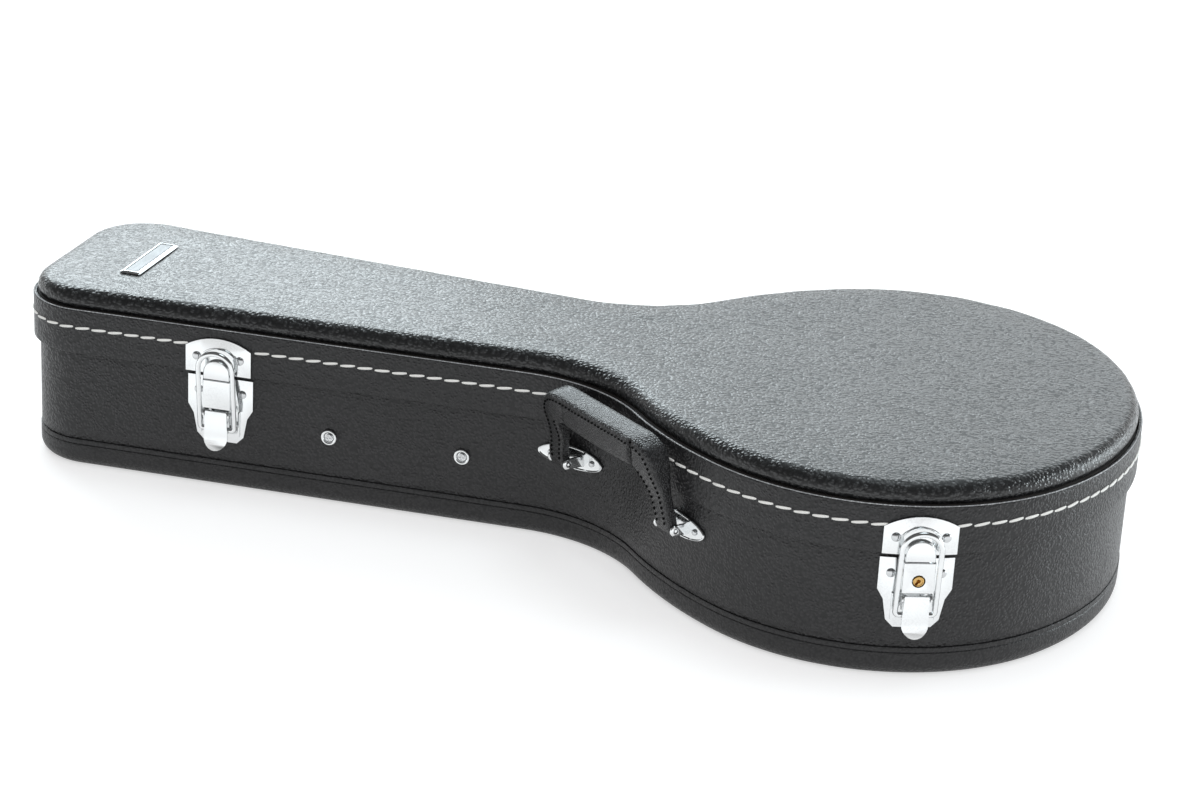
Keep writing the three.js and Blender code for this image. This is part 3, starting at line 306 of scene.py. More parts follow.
# Nodes
def join(tree, sockets, values):
    """Sets sockets to values, or joins them to outputs."""
    for label, value in dict(values).items():
        if isinstance(value, bpy.types.NodeSocket):
            tree.links.new(value, sockets[label])
        else:
            sockets[label].default_value = value


def node(tree, kind, inputs=(), **settings):
    made = tree.nodes.new(kind)
    for key, value in settings.items():
        setattr(made, key, value)
    join(tree, made.inputs, inputs)
    return made


def calculate(tree, operation, a, b):
    return node(tree, "ShaderNodeMath", {0: a, 1: b}, operation=operation).outputs[0]


def ramp(tree, value, low, high, from_value=0.0, to_value=1.0):
    inputs = {"Value": value, "From Min": low, "From Max": high}
    inputs |= {"To Min": from_value, "To Max": to_value}
    return node(tree, "ShaderNodeMapRange", inputs, interpolation_type="SMOOTHSTEP").outputs["Result"]


def object_place(tree):
    return node(tree, "ShaderNodeTexCoord").outputs["Object"]


def clouds(tree, place, scale, detail):
    return node(tree, "ShaderNodeTexNoise", {"Vector": place, "Scale": scale, "Detail": detail}).outputs


def turned_place(tree, scale, rotation=(0.0, 0.0, 0.0)):
    inputs = {"Vector": object_place(tree), "Rotation": rotation, "Scale": scale}
    return node(tree, "ShaderNodeMapping", inputs).outputs[0]


def vectors(tree, operation, inputs):
    return node(tree, "ShaderNodeVectorMath", inputs, operation=operation).outputs[0]


def new_group(name, inputs, outputs, kind="ShaderNodeTree"):
    """A node group and its inputs. Each socket is given with its value or, as a word, its kind."""
    group = bpy.data.node_groups.new(name, kind)
    for way, sockets in (("INPUT", inputs), ("OUTPUT", outputs)):
        for label, value in sockets.items():
            word = value if isinstance(value, str) else type(value).__name__.title()
            socket = group.interface.new_socket(name=label, in_out=way, socket_type="NodeSocket" + word)
            if word != value:
                socket.default_value = value
    return group, node(group, "NodeGroupInput").outputs


def pebble_grain():
    """Pebbled grain of vinyl and leather: round pebbles with creases between them."""
    inputs = {"Pebbles per metre": 560.0, "Stretch": 1.0}
    group, start = new_group("pebble_grain", inputs, {"Height": 0.0, "Crease": 0.0})
    stretch = node(group, "ShaderNodeCombineXYZ", {"X": start["Stretch"], "Y": 1.0, "Z": 1.0}).outputs[0]
    place = vectors(group, "MULTIPLY", {0: object_place(group), 1: stretch})
    shift = vectors(group, "SCALE", {0: clouds(group, place, 90.0, 1.0)["Color"], "Scale": 0.004})
    inputs = {
        "Vector": vectors(group, "ADD", {0: place, 1: shift}),
        "Scale": start["Pebbles per metre"],
        "Smoothness": 0.25,
    }
    distance = node(group, "ShaderNodeTexVoronoi", inputs, feature="SMOOTH_F1").outputs["Distance"]
    pebble = ramp(group, distance, 0.05, 0.72, 1.0, 0.0)
    broad = ramp(group, clouds(group, place, 260.0, 1.0)["Fac"], 0.3, 0.7, 0.6, 1.0)
    fine = calculate(group, "MULTIPLY", clouds(group, place, 1900.0, 2.0)["Fac"], 0.12)
    height = calculate(group, "ADD", calculate(group, "MULTIPLY", pebble, broad), fine)
    node(group, "NodeGroupOutput", {"Height": height, "Crease": ramp(group, distance, 0.5, 0.75)})
    return group


def soft_cloud():
    """Slow change over a surface, for colour, gloss and handling marks."""
    group, start = new_group("soft_cloud", {"Scale": 20.0, "Low": 0.0, "High": 1.0}, {"Mask": 0.0})
    cloud = clouds(group, object_place(group), start["Scale"], 4.0)["Fac"]
    node(group, "NodeGroupOutput", {0: ramp(group, cloud, 0.35, 0.65, start["Low"], start["High"])})
    return group


def fine_scratches():
    """Thin polishing and wear lines on metal."""
    group, start = new_group("fine_scratches", {"Lines per metre": 900.0}, {"Mask": 0.0})
    place = turned_place(group, (1.0, 0.06, 1.0), (0.3, 0.5, 0.9))
    lines = clouds(group, place, start["Lines per metre"], 3.0)["Fac"]
    node(group, "NodeGroupOutput", {0: ramp(group, lines, 0.42, 0.6)})
    return group


def pile():
    """Short fibres of plush, and the way that they lie."""
    group, start = new_group("pile", {"Fibres per metre": 1500.0}, {"Height": 0.0, "Lay": 0.0})
    place = object_place(group)
    fibres = clouds(group, place, start["Fibres per metre"], 3.0)["Fac"]
    lay = ramp(group, clouds(group, place, 28.0, 3.0)["Fac"], 0.35, 0.65)
    node(group, "NodeGroupOutput", {"Height": fibres, "Lay": lay})
    return group


GRAIN = pebble_grain()
CLOUD = soft_cloud()
SCRATCHES = fine_scratches()
PILE = pile()


# Materials
def spaced(values):
    return {label.replace("_", " "): value for label, value in values.items()}


def material_of(name, colour, roughness, **shader):
    made = bpy.data.materials.new(name)
    made.use_nodes = True
    surface = made.node_tree.nodes["Principled BSDF"].inputs
    inputs = {"Base Color": (*colour, 1.0), "Roughness": roughness, **spaced(shader)}
    join(made.node_tree, surface, inputs)
    return made, made.node_tree, surface


def effect(tree, group, **values):
    return node(tree, "ShaderNodeGroup", spaced(values), node_tree=group).outputs


def paint(tree, surface, mask, first, second):
    """Gives the surface a colour between two."""
    inputs = {0: mask, 6: (*first, 1.0), 7: (*second, 1.0)}
    join(tree, surface, {"Base Color": node(tree, "ShaderNodeMix", inputs, data_type="RGBA").outputs[2]})


def raise_surface(tree, surface, height, strength, distance):
    inputs = {"Height": height, "Strength": strength, "Distance": distance}
    join(tree, surface, {"Normal": node(tree, "ShaderNodeBump", inputs).outputs[0]})


def grained(name, dark, pale, roughness, pebbles, strength, stretch=1.0, **shader):
    """Vinyl or leather with a pebbled grain, duller in its creases; the creases are painted darker as
    shade and the pebble tops paler as highlight.
    """
    made, tree, surface = material_of(name, dark, roughness, **shader)
    grain = effect(tree, GRAIN, Pebbles_per_metre=pebbles, Stretch=stretch)
    cloud = effect(tree, CLOUD, Scale=14.0)["Mask"]
    # Painted light and shade: pebble tops paler as highlight, creases darker as shade, in soft patches.
    pebble_light_and_shade = calculate(tree, "MULTIPLY", grain["Height"], calculate(tree, "ADD", cloud, 0.6))
    paint(tree, surface, pebble_light_and_shade, dark, pale)
    gloss = effect(tree, CLOUD, Scale=22.0, Low=roughness - 0.01, High=roughness + 0.015)["Mask"]
    dull = calculate(tree, "MULTIPLY", grain["Crease"], 0.16)
    join(tree, surface, {"Roughness": calculate(tree, "ADD", gloss, dull)})
    coat = surface["Coat Weight"].default_value
    if coat:
        join(tree, surface, {"Coat Weight": ramp(tree, grain["Crease"], 0.0, 1.0, coat, 0.0)})
    raise_surface(tree, surface, grain["Height"], strength, 0.5 * MM)
    return made


def polished(name, colour, dull, roughness, lines=900.0):
    """Plated or solid metal with faint polishing lines and duller patches."""
    made, tree, surface = material_of(name, colour, roughness, Metallic=1.0)
    scratches = effect(tree, SCRATCHES, Lines_per_metre=lines)["Mask"]
    cloud = effect(tree, CLOUD, Scale=60.0, High=0.35)["Mask"]
    mixed = calculate(tree, "MULTIPLY", scratches, cloud)
    paint(tree, surface, mixed, colour, dull)
    join(tree, surface, {"Roughness": ramp(tree, mixed, 0.0, 1.0, roughness, roughness + 0.12)})
    raise_surface(tree, surface, scratches, 0.03, 0.05 * MM)
    return made


def plush(name, dark, pale):
    made, tree, surface = material_of(name, dark, 0.95, Sheen_Weight=0.35, Sheen_Roughness=0.4)
    fibres = effect(tree, PILE, Fibres_per_metre=1500.0)
    paint(tree, surface, fibres["Lay"], dark, pale)
    raise_surface(tree, surface, fibres["Height"], 0.5, 0.6 * MM)
    return made


def thread(name, dark, pale, roughness, shine):
    made, tree, surface = material_of(name, pale, roughness, Specular_IOR_Level=shine)
    inputs = {"Vector": object_place(tree), "Scale": 620.0, "Distortion": 1.5}
    twist = node(tree, "ShaderNodeTexWave", inputs, wave_type="BANDS", bands_direction="DIAGONAL")
    paint(tree, surface, twist.outputs["Fac"], dark, pale)
    raise_surface(tree, surface, twist.outputs["Fac"], 0.4, 0.2 * MM)
    return made


def stained_board(name, dark, pale):
    made, tree, surface = material_of(name, dark, 0.8)
    lines = clouds(tree, turned_place(tree, (1.0, 14.0, 60.0)), 12.0, 6.0)["Fac"]
    paint(tree, surface, lines, dark, pale)
    raise_surface(tree, surface, lines, 0.2, 0.3 * MM)
    return made


WALL_VINYL = grained("wall_vinyl", (0.004, 0.004, 0.0045), (0.014, 0.0135, 0.0148), 0.36, 520.0, 0.85)
# The lid top's vinyl is the walls' vinyl painted a little paler, as the light that falls on the top.
LIT_LID_VINYL = grained(
    "lid_vinyl", (0.005, 0.0052, 0.0056), (0.02, 0.021, 0.022), 0.3, 480.0, 1.0, 0.85,
    Coat_Weight=0.3, Coat_Roughness=0.28,
)
BINDING_VINYL = grained(
    "binding_vinyl", (0.006, 0.006, 0.0065), (0.014, 0.0135, 0.0145), 0.42, 620.0, 0.4
)
# Pale vinyl of the band's top bead: its colour paints the highlight that the turned edge catches.
HIGHLIGHT_BEAD_VINYL = grained("edge_vinyl", (0.2, 0.205, 0.21), (0.5, 0.51, 0.52), 0.3, 900.0, 0.3)
HANDLE_LEATHER = grained(
    "handle_leather", (0.005, 0.005, 0.0055), (0.026, 0.0265, 0.028), 0.3, 820.0, 1.5,
    Coat_Weight=0.3, Coat_Roughness=0.22,
)
BLACK_PLUSH = plush("black_plush", (0.008, 0.008, 0.009), (0.02, 0.02, 0.022))
CHROME = polished("chrome_plating", (0.8, 0.815, 0.82), (0.68, 0.69, 0.7), 0.1)
STEEL = polished("bright_steel", (0.6, 0.61, 0.62), (0.46, 0.47, 0.48), 0.2)
BRASS = polished("lock_brass", (0.62, 0.4, 0.15), (0.4, 0.25, 0.09), 0.22)
BRUSHED_STEEL = polished("brushed_plate", (0.16, 0.165, 0.17), (0.1, 0.105, 0.11), 0.42, 700.0)
WHITE_THREAD = thread("white_thread", (0.72, 0.71, 0.68), (0.93, 0.93, 0.9), 0.7, 0.5)
DARK_THREAD = thread("dark_thread", (0.001, 0.001, 0.001), (0.004, 0.004, 0.004), 0.9, 0.1)
# The lid board is coloured near black as painted shade, so that it reads dark in the groove between the
# band and the padded top.
SHADE_BLACK_BOARD = stained_board("black_board", (0.008, 0.007, 0.007), (0.03, 0.027, 0.025))

# Base shell
FOOT_RADIUS = 9.0
BINDING_THICKNESS = 0.9
BINDING_PROUD = 0.5
BINDING_LIP = 3.5
BINDING_EDGE = ((0.55, 0.0), (0.15, 0.12), (0.0, 0.5))
CREASE_HEIGHT = 16.1
CREASE_SHAPE = ((0.0, 0.7), (0.1, 0.35), (0.42, 0.0), (0.1, -0.35), (0.0, -0.7))
FLOOR_EDGE_HEIGHTS = (1.6, 2.4, 3.6, 4.8, FLOOR_TOP)
WALL_FOOT_HEIGHT = 7.5
WALL_BOW = 0.03
WALL_ROUNDING = 0.8
SMALL_EDGE = 0.25
binding_inset = OVERHANG - BINDING_PROUD
foot_inset = binding_inset + FOOT_RADIUS


def behind_binding(height):
    """Inset of what lies behind the binding, at a height."""
    radius = FOOT_RADIUS - BINDING_THICKNESS - FIT_GAP
    return foot_inset - sqrt(radius**2 - max(FOOT_RADIUS - height, 0.0) ** 2)


def base_wall_profile():
    shelf = BINDING_TOP + FIT_GAP
    low = FLOOR_TOP + FIT_GAP
    top = SPLIT - FIT_GAP
    rebate = binding_inset + BINDING_THICKNESS + FIT_GAP
    start, rise = shelf + 0.3, top - 1.5 - shelf
    outer = [(behind_binding(height), height) for height in (low, WALL_FOOT_HEIGHT)]
    outer += [(rebate, FOOT_RADIUS), (rebate, shelf), (OVERHANG + SMALL_EDGE, shelf)]
    for i in range(8):
        outer.append((OVERHANG + WALL_BOW * sin(pi * i / 8), start + rise * i / 8))
    outer += arc(OVERHANG + WALL_ROUNDING, top - WALL_ROUNDING, WALL_ROUNDING, 180, 90, 4)
    return outer + [(WALL_INSIDE - 0.4, top), (WALL_INSIDE, top - 0.4), (WALL_INSIDE, low)]


def binding_profile():
    """The strip round the foot: a crease under its top edge, then the round foot and the lip below."""
    outside = [(binding_inset + aside, BINDING_TOP - down) for aside, down in BINDING_EDGE]
    outside += [(binding_inset + deep, CREASE_HEIGHT + up) for deep, up in CREASE_SHAPE]
    foot = arc(foot_inset, FOOT_RADIUS, FOOT_RADIUS, 180, 270, 10)
    lip = foot_inset + BINDING_LIP
    under = [(lip - 0.2, 0.0), (lip, 0.2), (lip, BINDING_THICKNESS)]
    back = arc(foot_inset, FOOT_RADIUS, FOOT_RADIUS - BINDING_THICKNESS, 270, 180, 8)
    return outside + foot + under + back + [(binding_inset + BINDING_THICKNESS, BINDING_TOP)]


def floor_profile():
    lip = foot_inset + BINDING_LIP + FIT_GAP
    low = BINDING_THICKNESS + FIT_GAP
    edge = [(behind_binding(height), height) for height in FLOOR_EDGE_HEIGHTS]
    return [(lip + SMALL_EDGE, 0.0), (lip, SMALL_EDGE), (lip, low), (foot_inset, low)] + edge


part("base_shell", hoop(base_wall_profile()), WALL_VINYL, "base", "vinyl", "base_wall")
binding = hoop(binding_profile())
part("foot_binding", binding, BINDING_VINYL, "base", "binding", "bottom_binding", sharp=50)
part("floor_board", board(floor_profile(), 6), WALL_VINYL, "base", "vinyl", "bottom_panel")

# Lid
BAND_LOW_ROUNDING = 0.7
BAND_HIGH_ROUNDING = 0.5
BEAD_INSET = 0.75
BEAD_RADIUS = 0.42
LID_EDGE_INSET = 2.85
LID_EDGE_RADIUS = 9.0
LID_EDGE_TUCK = 2.25
LID_PAD_BOTTOM = 111.65
CROWN_RISE = 0.6
CROWN_REACH = 34.0
PULL_DEPTH = 0.3


def band_profile():
    low, high = BAND_LOW_ROUNDING, BAND_HIGH_ROUNDING
    outer = arc(low, SPLIT + low, low, 270, 180, 3)
    outer += [(0.0, SPLIT + (BAND_TOP - SPLIT) * i / 6) for i in range(1, 6)]
    outer += arc(high, BAND_TOP - high, high, 180, 90, 4)
    inner = [(BAND_THICKNESS - SMALL_EDGE, BAND_TOP), (BAND_THICKNESS, BAND_TOP - SMALL_EDGE)]
    return outer + inner + [(BAND_THICKNESS, SPLIT + 0.3), (BAND_THICKNESS - 0.3, SPLIT)]


def bead_profile():
    """The turned edge of the vinyl along the top of the band, coloured pale to paint its highlight as a
    fine line.
    """
    under = [(1.1, BAND_TOP - 0.2), (0.4, BAND_TOP - 0.2)]
    return arc(BEAD_INSET, BAND_TOP, BEAD_RADIUS, 200, -20, 8) + under


def crown(x, y):
    """Height of the padded top, with the faint hollows of foam under vinyl."""
    broad = noise.noise(Vector((x * 0.011, y * 0.013, 3.1))) * 0.35
    small = noise.noise(Vector((x * 0.03, y * 0.03, 8.2))) * 0.12
    return LID_TOP + CROWN_RISE + min(broad + small, 0.0)


def lid_top_profile():
    inset, low = LID_EDGE_INSET + LID_EDGE_RADIUS, LID_PAD_BOTTOM
    section = [(LID_EDGE_INSET + LID_EDGE_TUCK, low), (LID_EDGE_INSET + 0.9, low + 0.9)]
    section += arc(inset, LID_TOP - LID_EDGE_RADIUS, LID_EDGE_RADIUS, 180, 90, 14)
    for i in range(1, 6):
        rise = CROWN_RISE * sin(pi / 2 * i / 5)
        section.append((inset + (CROWN_REACH - inset) * i / 5, LID_TOP + rise))
    return section


def lid_pad():
    form = board(lid_top_profile(), 24, None, crown)
    made = part("padded_lid_top", form, LIT_LID_VINYL, "lid", "padded_vinyl", "lid_top", sharp=60)
    for vertex in made.data.vertices:
        x, y, z = (c / MM for c in vertex.co)
        if z > LID_PAD_BOTTOM + 1.0:
            pull = noise.noise(Vector((x * 0.05, y * 0.05, z * 0.09)))
            vertex.co += vertex.normal * (pull - 0.35) * PULL_DEPTH * MM
    return made


# The bead's pale colour is a painted highlight along the top edge of the band.
part("band_edge_bead", hoop(bead_profile()), HIGHLIGHT_BEAD_VINYL, "lid", "vinyl", sharp=60)
part("lid_band_cover", hoop(band_profile()), WALL_VINYL, "lid", "vinyl", "lid_band")
lid_pad()


# Soft lining
def soft(name, form, body, node_name):
    part(name, form, BLACK_PLUSH, body, "plush", node_name, sharp=60)


def pad_form(inset, low, high, radius, bulge):
    """A pad that fills the outline, with round edges and a slightly uneven face."""
    edge = [(inset + radius, low)] + arc(inset + radius, low + radius, radius, 270, 180, 3)[1:]
    edge += arc(inset + radius, high - radius, radius, 180, 90, 3)

    def uneven(level, sign):
        return lambda x, y: level - sign * bulge * abs(noise.noise(Vector((x * 0.02, y * 0.02, level))))

    return board(edge, 16, uneven(low, -1), uneven(high, 1))


low = FLOOR_TOP + FIT_GAP
liner = hoop(rounded(LINER_INSET, LINER_INSET + 3, low, LINER_TOP, 1.3))
side_lining = hoop(rounded(BAND_THICKNESS + FIT_GAP, 9.2, SPLIT, LID_WALL_TOP, 1.2))
soft("base_liner", liner, "base", "liner")
soft("lid_side_lining", side_lining, "lid", "lid_wall")
soft("base_floor_pad", pad_form(PAD_INSET, low, PAD_TOP, 1.5, 0.6), "base", "floor_pad")
soft("lid_top_lining", pad_form(9.5, LINING_BOTTOM, LID_WALL_TOP, 2.0, 0.8), "lid", "lid_lining")

JOINED_DISTANCE = 0.002
JOINED_ANGLE = 0.6
BEVELLED_ANGLE = 28
CLOTH_FRAMES = 20
CLOTH_PRESSURE = 4.0
CLOTH_QUALITY = 5
START_INSET = 1.3
LARGEST_SWELL = 1.2


def copy_of(name, node_name, material, bevel, segments, sharp):
    """A finely finished copy of a CAD piece: flat faces joined and sharp edges rounded."""
    mesh = frame["nodes"][node_name].data.copy()
    mesh.name = name
    form = bmesh.new()
    form.from_mesh(mesh)
    bmesh.ops.remove_doubles(form, verts=form.verts, dist=JOINED_DISTANCE * MM)
    limit = radians(JOINED_ANGLE)
    bmesh.ops.dissolve_limit(form, angle_limit=limit, verts=form.verts, edges=form.edges)
    steep = radians(BEVELLED_ANGLE)
    edges = [e for e in form.edges if len(e.link_faces) == 2 and e.calc_face_angle(0) > steep]
    sizes = dict(offset=bevel * MM, offset_type="OFFSET", segments=segments, profile=0.5)
    bmesh.ops.bevel(form, geom=edges, affect="EDGES", clamp_overlap=True, **sizes)
    form.to_mesh(mesh)
    form.free()
    for layer in [a.name for a in mesh.color_attributes]:
        mesh.color_attributes.remove(mesh.color_attributes[layer])
    return finished(name, mesh, material, sharp)


def refined(name, node_name, material, slot, bevel=0.25, segments=2, sharp=35.0):
    made = copy_of(name, node_name, material, bevel, segments, sharp)
    return carried(made, frame["nodes"][node_name]["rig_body"], slot, node_name)


def blown_places(cover, start):
    """Where the points of a cover go under pressure, no further than the largest swell."""
    cloth = cover.modifiers.new("cover", "CLOTH")
    cloth.settings.use_pressure = True
    cloth.settings.uniform_pressure_force = CLOTH_PRESSURE
    cloth.settings.quality = CLOTH_QUALITY
    cloth.settings.effector_weights.gravity = 0.0
    cloth.point_cache.frame_start = 1
    cloth.point_cache.frame_end = CLOTH_FRAMES
    for number in range(1, CLOTH_FRAMES + 1):
        bpy.context.scene.frame_set(number)
    blown = applied(cover)
    cover.modifiers.remove(cloth)
    places = []
    for before, after in zip(start, blown.vertices):
        move = after.co - before
        places.append(before + move * min(1.0, LARGEST_SWELL * MM / max(move.length, 1e-9)))
    bpy.data.meshes.remove(blown)
    bpy.context.scene.frame_set(1)
    return places


def plumped(obj, voxel):
    """A foam piece whose cover is blown up a little, so its faces crown and its edges pull in."""
    name, material = obj.name, obj.data.materials[0]
    remesh = obj.modifiers.new("even_faces", "REMESH")
    remesh.mode = "VOXEL"
    remesh.voxel_size = voxel * MM
    even = applied(obj)
    bpy.data.objects.remove(obj)
    cover = link(bpy.data.objects.new(name, even))
    for vertex in even.vertices:
        vertex.co -= vertex.normal * START_INSET * MM
    places = blown_places(cover, [vertex.co.copy() for vertex in even.vertices])
    for vertex, place in zip(even.vertices, places):
        vertex.co = place
    smooth = cover.modifiers.new("finer", "SUBSURF")
    smooth.levels = smooth.render_levels = 1
    fine = applied(cover)
    bpy.data.objects.remove(cover)
    fine.name = name
    return finished(name, fine, material, 60)


# Places on the near wall. In each frame x runs along the wall, y is up and z points out of it.
# Each latch: its arc or None for the straight neck, and its angle or its distance from the body
LATCHES = {"body": (side_arc, -radians(69.1)), "neck": (None, 424.0)}


def wall_frame(x, y, out_x, out_y):
    out = Vector((out_x, out_y, 0.0)).normalized()
    high = Vector((0.0, 0.0, 1.0))
    turned = Matrix((high.cross(out), high, out)).transposed().to_4x4()
    return Matrix.Translation((x, y, 0.0)) @ turned


def wall_place(wall, place, inset, aside=0.0, height=0.0, out=0.0):
    if wall is None:
        half = HEAD_HALF_WIDTH - (HEAD_END - place) * tan(taper) - inset / cos(taper)
        return wall_frame(-place, -half, *neck_out) @ Matrix.Translation((aside, height, out))
    centre, radius, hollow = wall[:3]
    radius -= hollow * inset
    angle = place + hollow * aside / radius
    out_x, out_y = hollow * cos(angle), hollow * sin(angle)
    matrix = wall_frame(*place_at(centre, radius, angle), out_x, out_y)
    return matrix @ Matrix.Translation((0.0, height, out))


def put(matrix, form):
    vertices, faces = form
    return [matrix @ Vector(v) for v in vertices], faces


def circle(count):
    """The cosine and sine of evenly spaced angles."""
    turns = [2 * pi * k / count for k in range(count)]
    return [(cos(turn), sin(turn)) for turn in turns]


def tube(points, radius, sides):
    """A round wire along the points."""
    path = [Vector(point) for point in points]
    along = (path[1] - path[0]).normalized()
    aside = along.orthogonal().normalized()
    vertices = []
    for i, point in enumerate(path):
        before = (point - path[i - 1]).normalized() if i else along
        after = (path[i + 1] - point).normalized() if i < len(path) - 1 else before
        towards = (before + after).normalized()
        aside = (aside - towards * aside.dot(towards)).normalized()
        other = towards.cross(aside)
        vertices += [point + (aside * c + other * s) * radius for c, s in circle(sides)]
    return vertices, skin(sides, len(path), ends=True)


def lathe(profile, sides=36):
    """A turned form round its z axis, from (radius, height) points that start and end on the axis."""
    vertices, faces, rings = [], [], []
    for radius, height in profile:
        turns = circle(sides) if radius else [(0.0, 0.0)]
        rings.append([len(vertices) + k for k in range(len(turns))])
        vertices += [(radius * c, radius * s, height) for c, s in turns]
    for low, high in zip(rings, rings[1:]):
        for k in range(sides):
            n = (k + 1) % sides
            corners = [low[k % len(low)], low[n % len(low)], high[n % len(high)], high[k % len(high)]]
            faces.append(tuple(dict.fromkeys(corners)))
    return vertices, faces


def together(*forms):
    vertices, faces = [], []
    for more, more_faces in forms:
        faces += [tuple(len(vertices) + i for i in face) for face in more_faces]
        vertices += more
    return vertices, faces


# Geometry Nodes
SCATTER_INPUTS = {
    "Geometry": "Geometry", "Spacing": 0.01, "Slant": 0.0, "Size": 1.0, "Uneven": 0.0, "Seed": 7,
    "Form": "Object", "Finish": "Material",
}


def scatter_tree(name, on_path):
    """Puts copies of a small form on a path or on points, in line with it, with their material."""
    outputs = {"Geometry": "Geometry"}
    tree, start = new_group(name, SCATTER_INPUTS, outputs, "GeometryNodeTree")

    def add(kind, inputs=(), **settings):
        return node(tree, kind, inputs, **settings).outputs

    def stored_vector(label):
        return add("GeometryNodeInputNamedAttribute", {"Name": label}, data_type="FLOAT_VECTOR")[0]

    points = start["Geometry"]
    if on_path:
        curve = add("GeometryNodeMeshToCurve", {"Mesh": points})[0]
        inputs = {"Curve": curve, "Length": start["Spacing"]}
        even = add("GeometryNodeResampleCurve", inputs, mode="LENGTH")[0]
        kept = node(tree, "GeometryNodeCaptureAttribute")
        kept.capture_items.new("VECTOR", "Tangent")
        join(tree, kept.inputs, {0: even, 1: add("GeometryNodeInputTangent")[0]})
        points = add("GeometryNodeCurveToPoints", {"Curve": kept.outputs[0]}, mode="EVALUATED")[0]
    along = kept.outputs[1] if on_path else stored_vector("along")
    align = "FunctionNodeAlignRotationToVector"
    inputs = {"Rotation": add(align, {"Vector": along}, axis="X")[0], "Vector": stored_vector("out")}
    upright = add(align, inputs, axis="Z", pivot_axis="X")[0]
    limits = {2: -1.0, 3: 1.0, "Seed": start["Seed"]}
    shaken = add("FunctionNodeRandomValue", limits, data_type="FLOAT")[1]
    factors = {0: shaken, 1: start["Uneven"], 2: start["Slant"]}
    sway = add("ShaderNodeMath", factors, operation="MULTIPLY_ADD")[0]
    inputs = {"Rotation": upright, "Rotate By": add("ShaderNodeCombineXYZ", {"Z": sway})[0]}
    turned = add("FunctionNodeRotateRotation", inputs, rotation_space="LOCAL")[0]
    form = add("GeometryNodeObjectInfo", {"Object": start["Form"]})["Geometry"]
    inputs = {"Points": points, "Instance": form, "Rotation": turned, "Scale": start["Size"]}
    real = add("GeometryNodeRealizeInstances", {0: add("GeometryNodeInstanceOnPoints", inputs)[0]})[0]
    inputs = {"Geometry": real, "Material": start["Finish"]}
    node(tree, "NodeGroupOutput", {0: add("GeometryNodeSetMaterial", inputs)[0]})
    return tree


ON_PATH = scatter_tree("copies_along_path", True)
ON_POINTS = scatter_tree("copies_on_points", False)


def form_object(name, vertices, faces):
    """A small form that is only copied, never shown by itself."""
    mesh = raw_mesh(name, vertices, [], faces)
    mesh.shade_smooth()
    return bpy.data.objects.new(name, mesh)


def scattered(name, tree, paths, form, material, **values):
    """Paths are lists of (place, out, along); the result is one plain mesh."""
    points = [point for path in paths for point in path]
    edges, first = [], 0
    for path in paths:
        if tree is ON_PATH:
            edges += [(first + i, first + i + 1) for i in range(len(path) - 1)]
        first += len(path)
    mesh = raw_mesh(name, [point[0] for point in points], edges, [])
    for label, column in (("out", 1), ("along", 2)):
        layer = mesh.attributes.new(label, "FLOAT_VECTOR", "POINT")
        layer.data.foreach_set("vector", [c for point in points for c in point[column]])
    carrier = link(bpy.data.objects.new(name, mesh))
    modifier = carrier.modifiers.new("copies", "NODES")
    modifier.node_group = tree
    inputs = [item for item in tree.interface.items_tree if item.in_out == "INPUT"]
    sockets = {item.name: item.identifier for item in inputs}
    for label, value in dict(values, Form=form, Finish=material).items():
        modifier[sockets[label]] = value
    made = applied(carrier)
    made.name = name
    for layer in [a.name for a in made.attributes if a.name in ("out", "along", "Tangent")]:
        made.attributes.remove(made.attributes[layer])
    bpy.data.objects.remove(carrier)
    return link(bpy.data.objects.new(name, made))


def stitch_form(name, length, width, rise):
    """A stitch: a thick thread that comes out of the cover, lies on it and goes back in."""
    steps, sides = 8, 8
    vertices = []
    for i in range(steps + 1):
        share = i / steps
        swell = sin(pi * min(max(share, 0.02), 0.98)) ** 0.22
        for c, s in circle(sides):
            high = rise * (swell * (0.5 + 0.5 * s) * 1.3 - 0.45)
            vertices.append(((share - 0.5) * length, c * width / 2 * swell, high))
    return form_object(name, vertices, skin(sides, steps + 1, ends=True))


# White stitches round the band of the lid, in two stretches between the two keeper plates
STITCH_HEIGHT = 99.6
STITCH_PITCH = 11.2
KEEPER_HALF = 22.5


def band_paths():
    marks = [wall_place(*latch, 0.0).translation for latch in LATCHES.values()]
    loop = []
    for x, y, out_x, out_y in rim:
        free = all(dist((x, y), mark[:2]) > KEEPER_HALF for mark in marks)
        loop.append((free, ((x, y, STITCH_HEIGHT), (out_x, out_y, 0.0), (-out_y, out_x, 0.0))))
    first = next(i for i in range(COUNT) if not loop[i][0] and loop[(i + 1) % COUNT][0])
    paths = [[]]
    for free, point in loop[first + 1:] + loop[:first + 1]:
        if free:
            paths[-1].append(point)
        elif paths[-1]:
            paths.append([])
    return [path for path in paths if path]


band_stitch = stitch_form("band_stitch_form", 9.8, 1.9, 1.2)
sizes = dict(Spacing=STITCH_PITCH * MM, Slant=radians(6.0), Uneven=radians(2.0), Seed=11)
stitches = scattered("band_stitches", ON_PATH, band_paths(), band_stitch, WHITE_THREAD, **sizes)
carried(stitches, "lid", None)

# Latches
PIN_DROP = 25.7
BAIL_END_DROP = 11.5
BAIL_END_OUT = 7.0
BAIL_TOP_OUT = 11.5
BAIL_ARCH_RISE = 5.05
BAIL_HALF_WIDTH = 11.6
BAIL_WIRE = 1.65
BAIL_GRIP = 5.2
BAIL_BEND = 2.1
LOCK_HEIGHT = SPLIT - 14.7
LOCK_FACE = 9.8
LOCK_RADIUS = 3.3
LOCK_FOOT = 3.8
LOCK_LIP = 0.5
KEYHOLE_TURN = -38
KEYHOLE_RADIUS = 1.25
KEYHOLE_SLOT = 0.75
KEEPER_RIVET = (0.0, 14.6, SPLIT + 11.2)
PLATE_RIVET = (OVERHANG, 14.8, SPLIT - 13.4)
RIVET_FOOT = 1.75


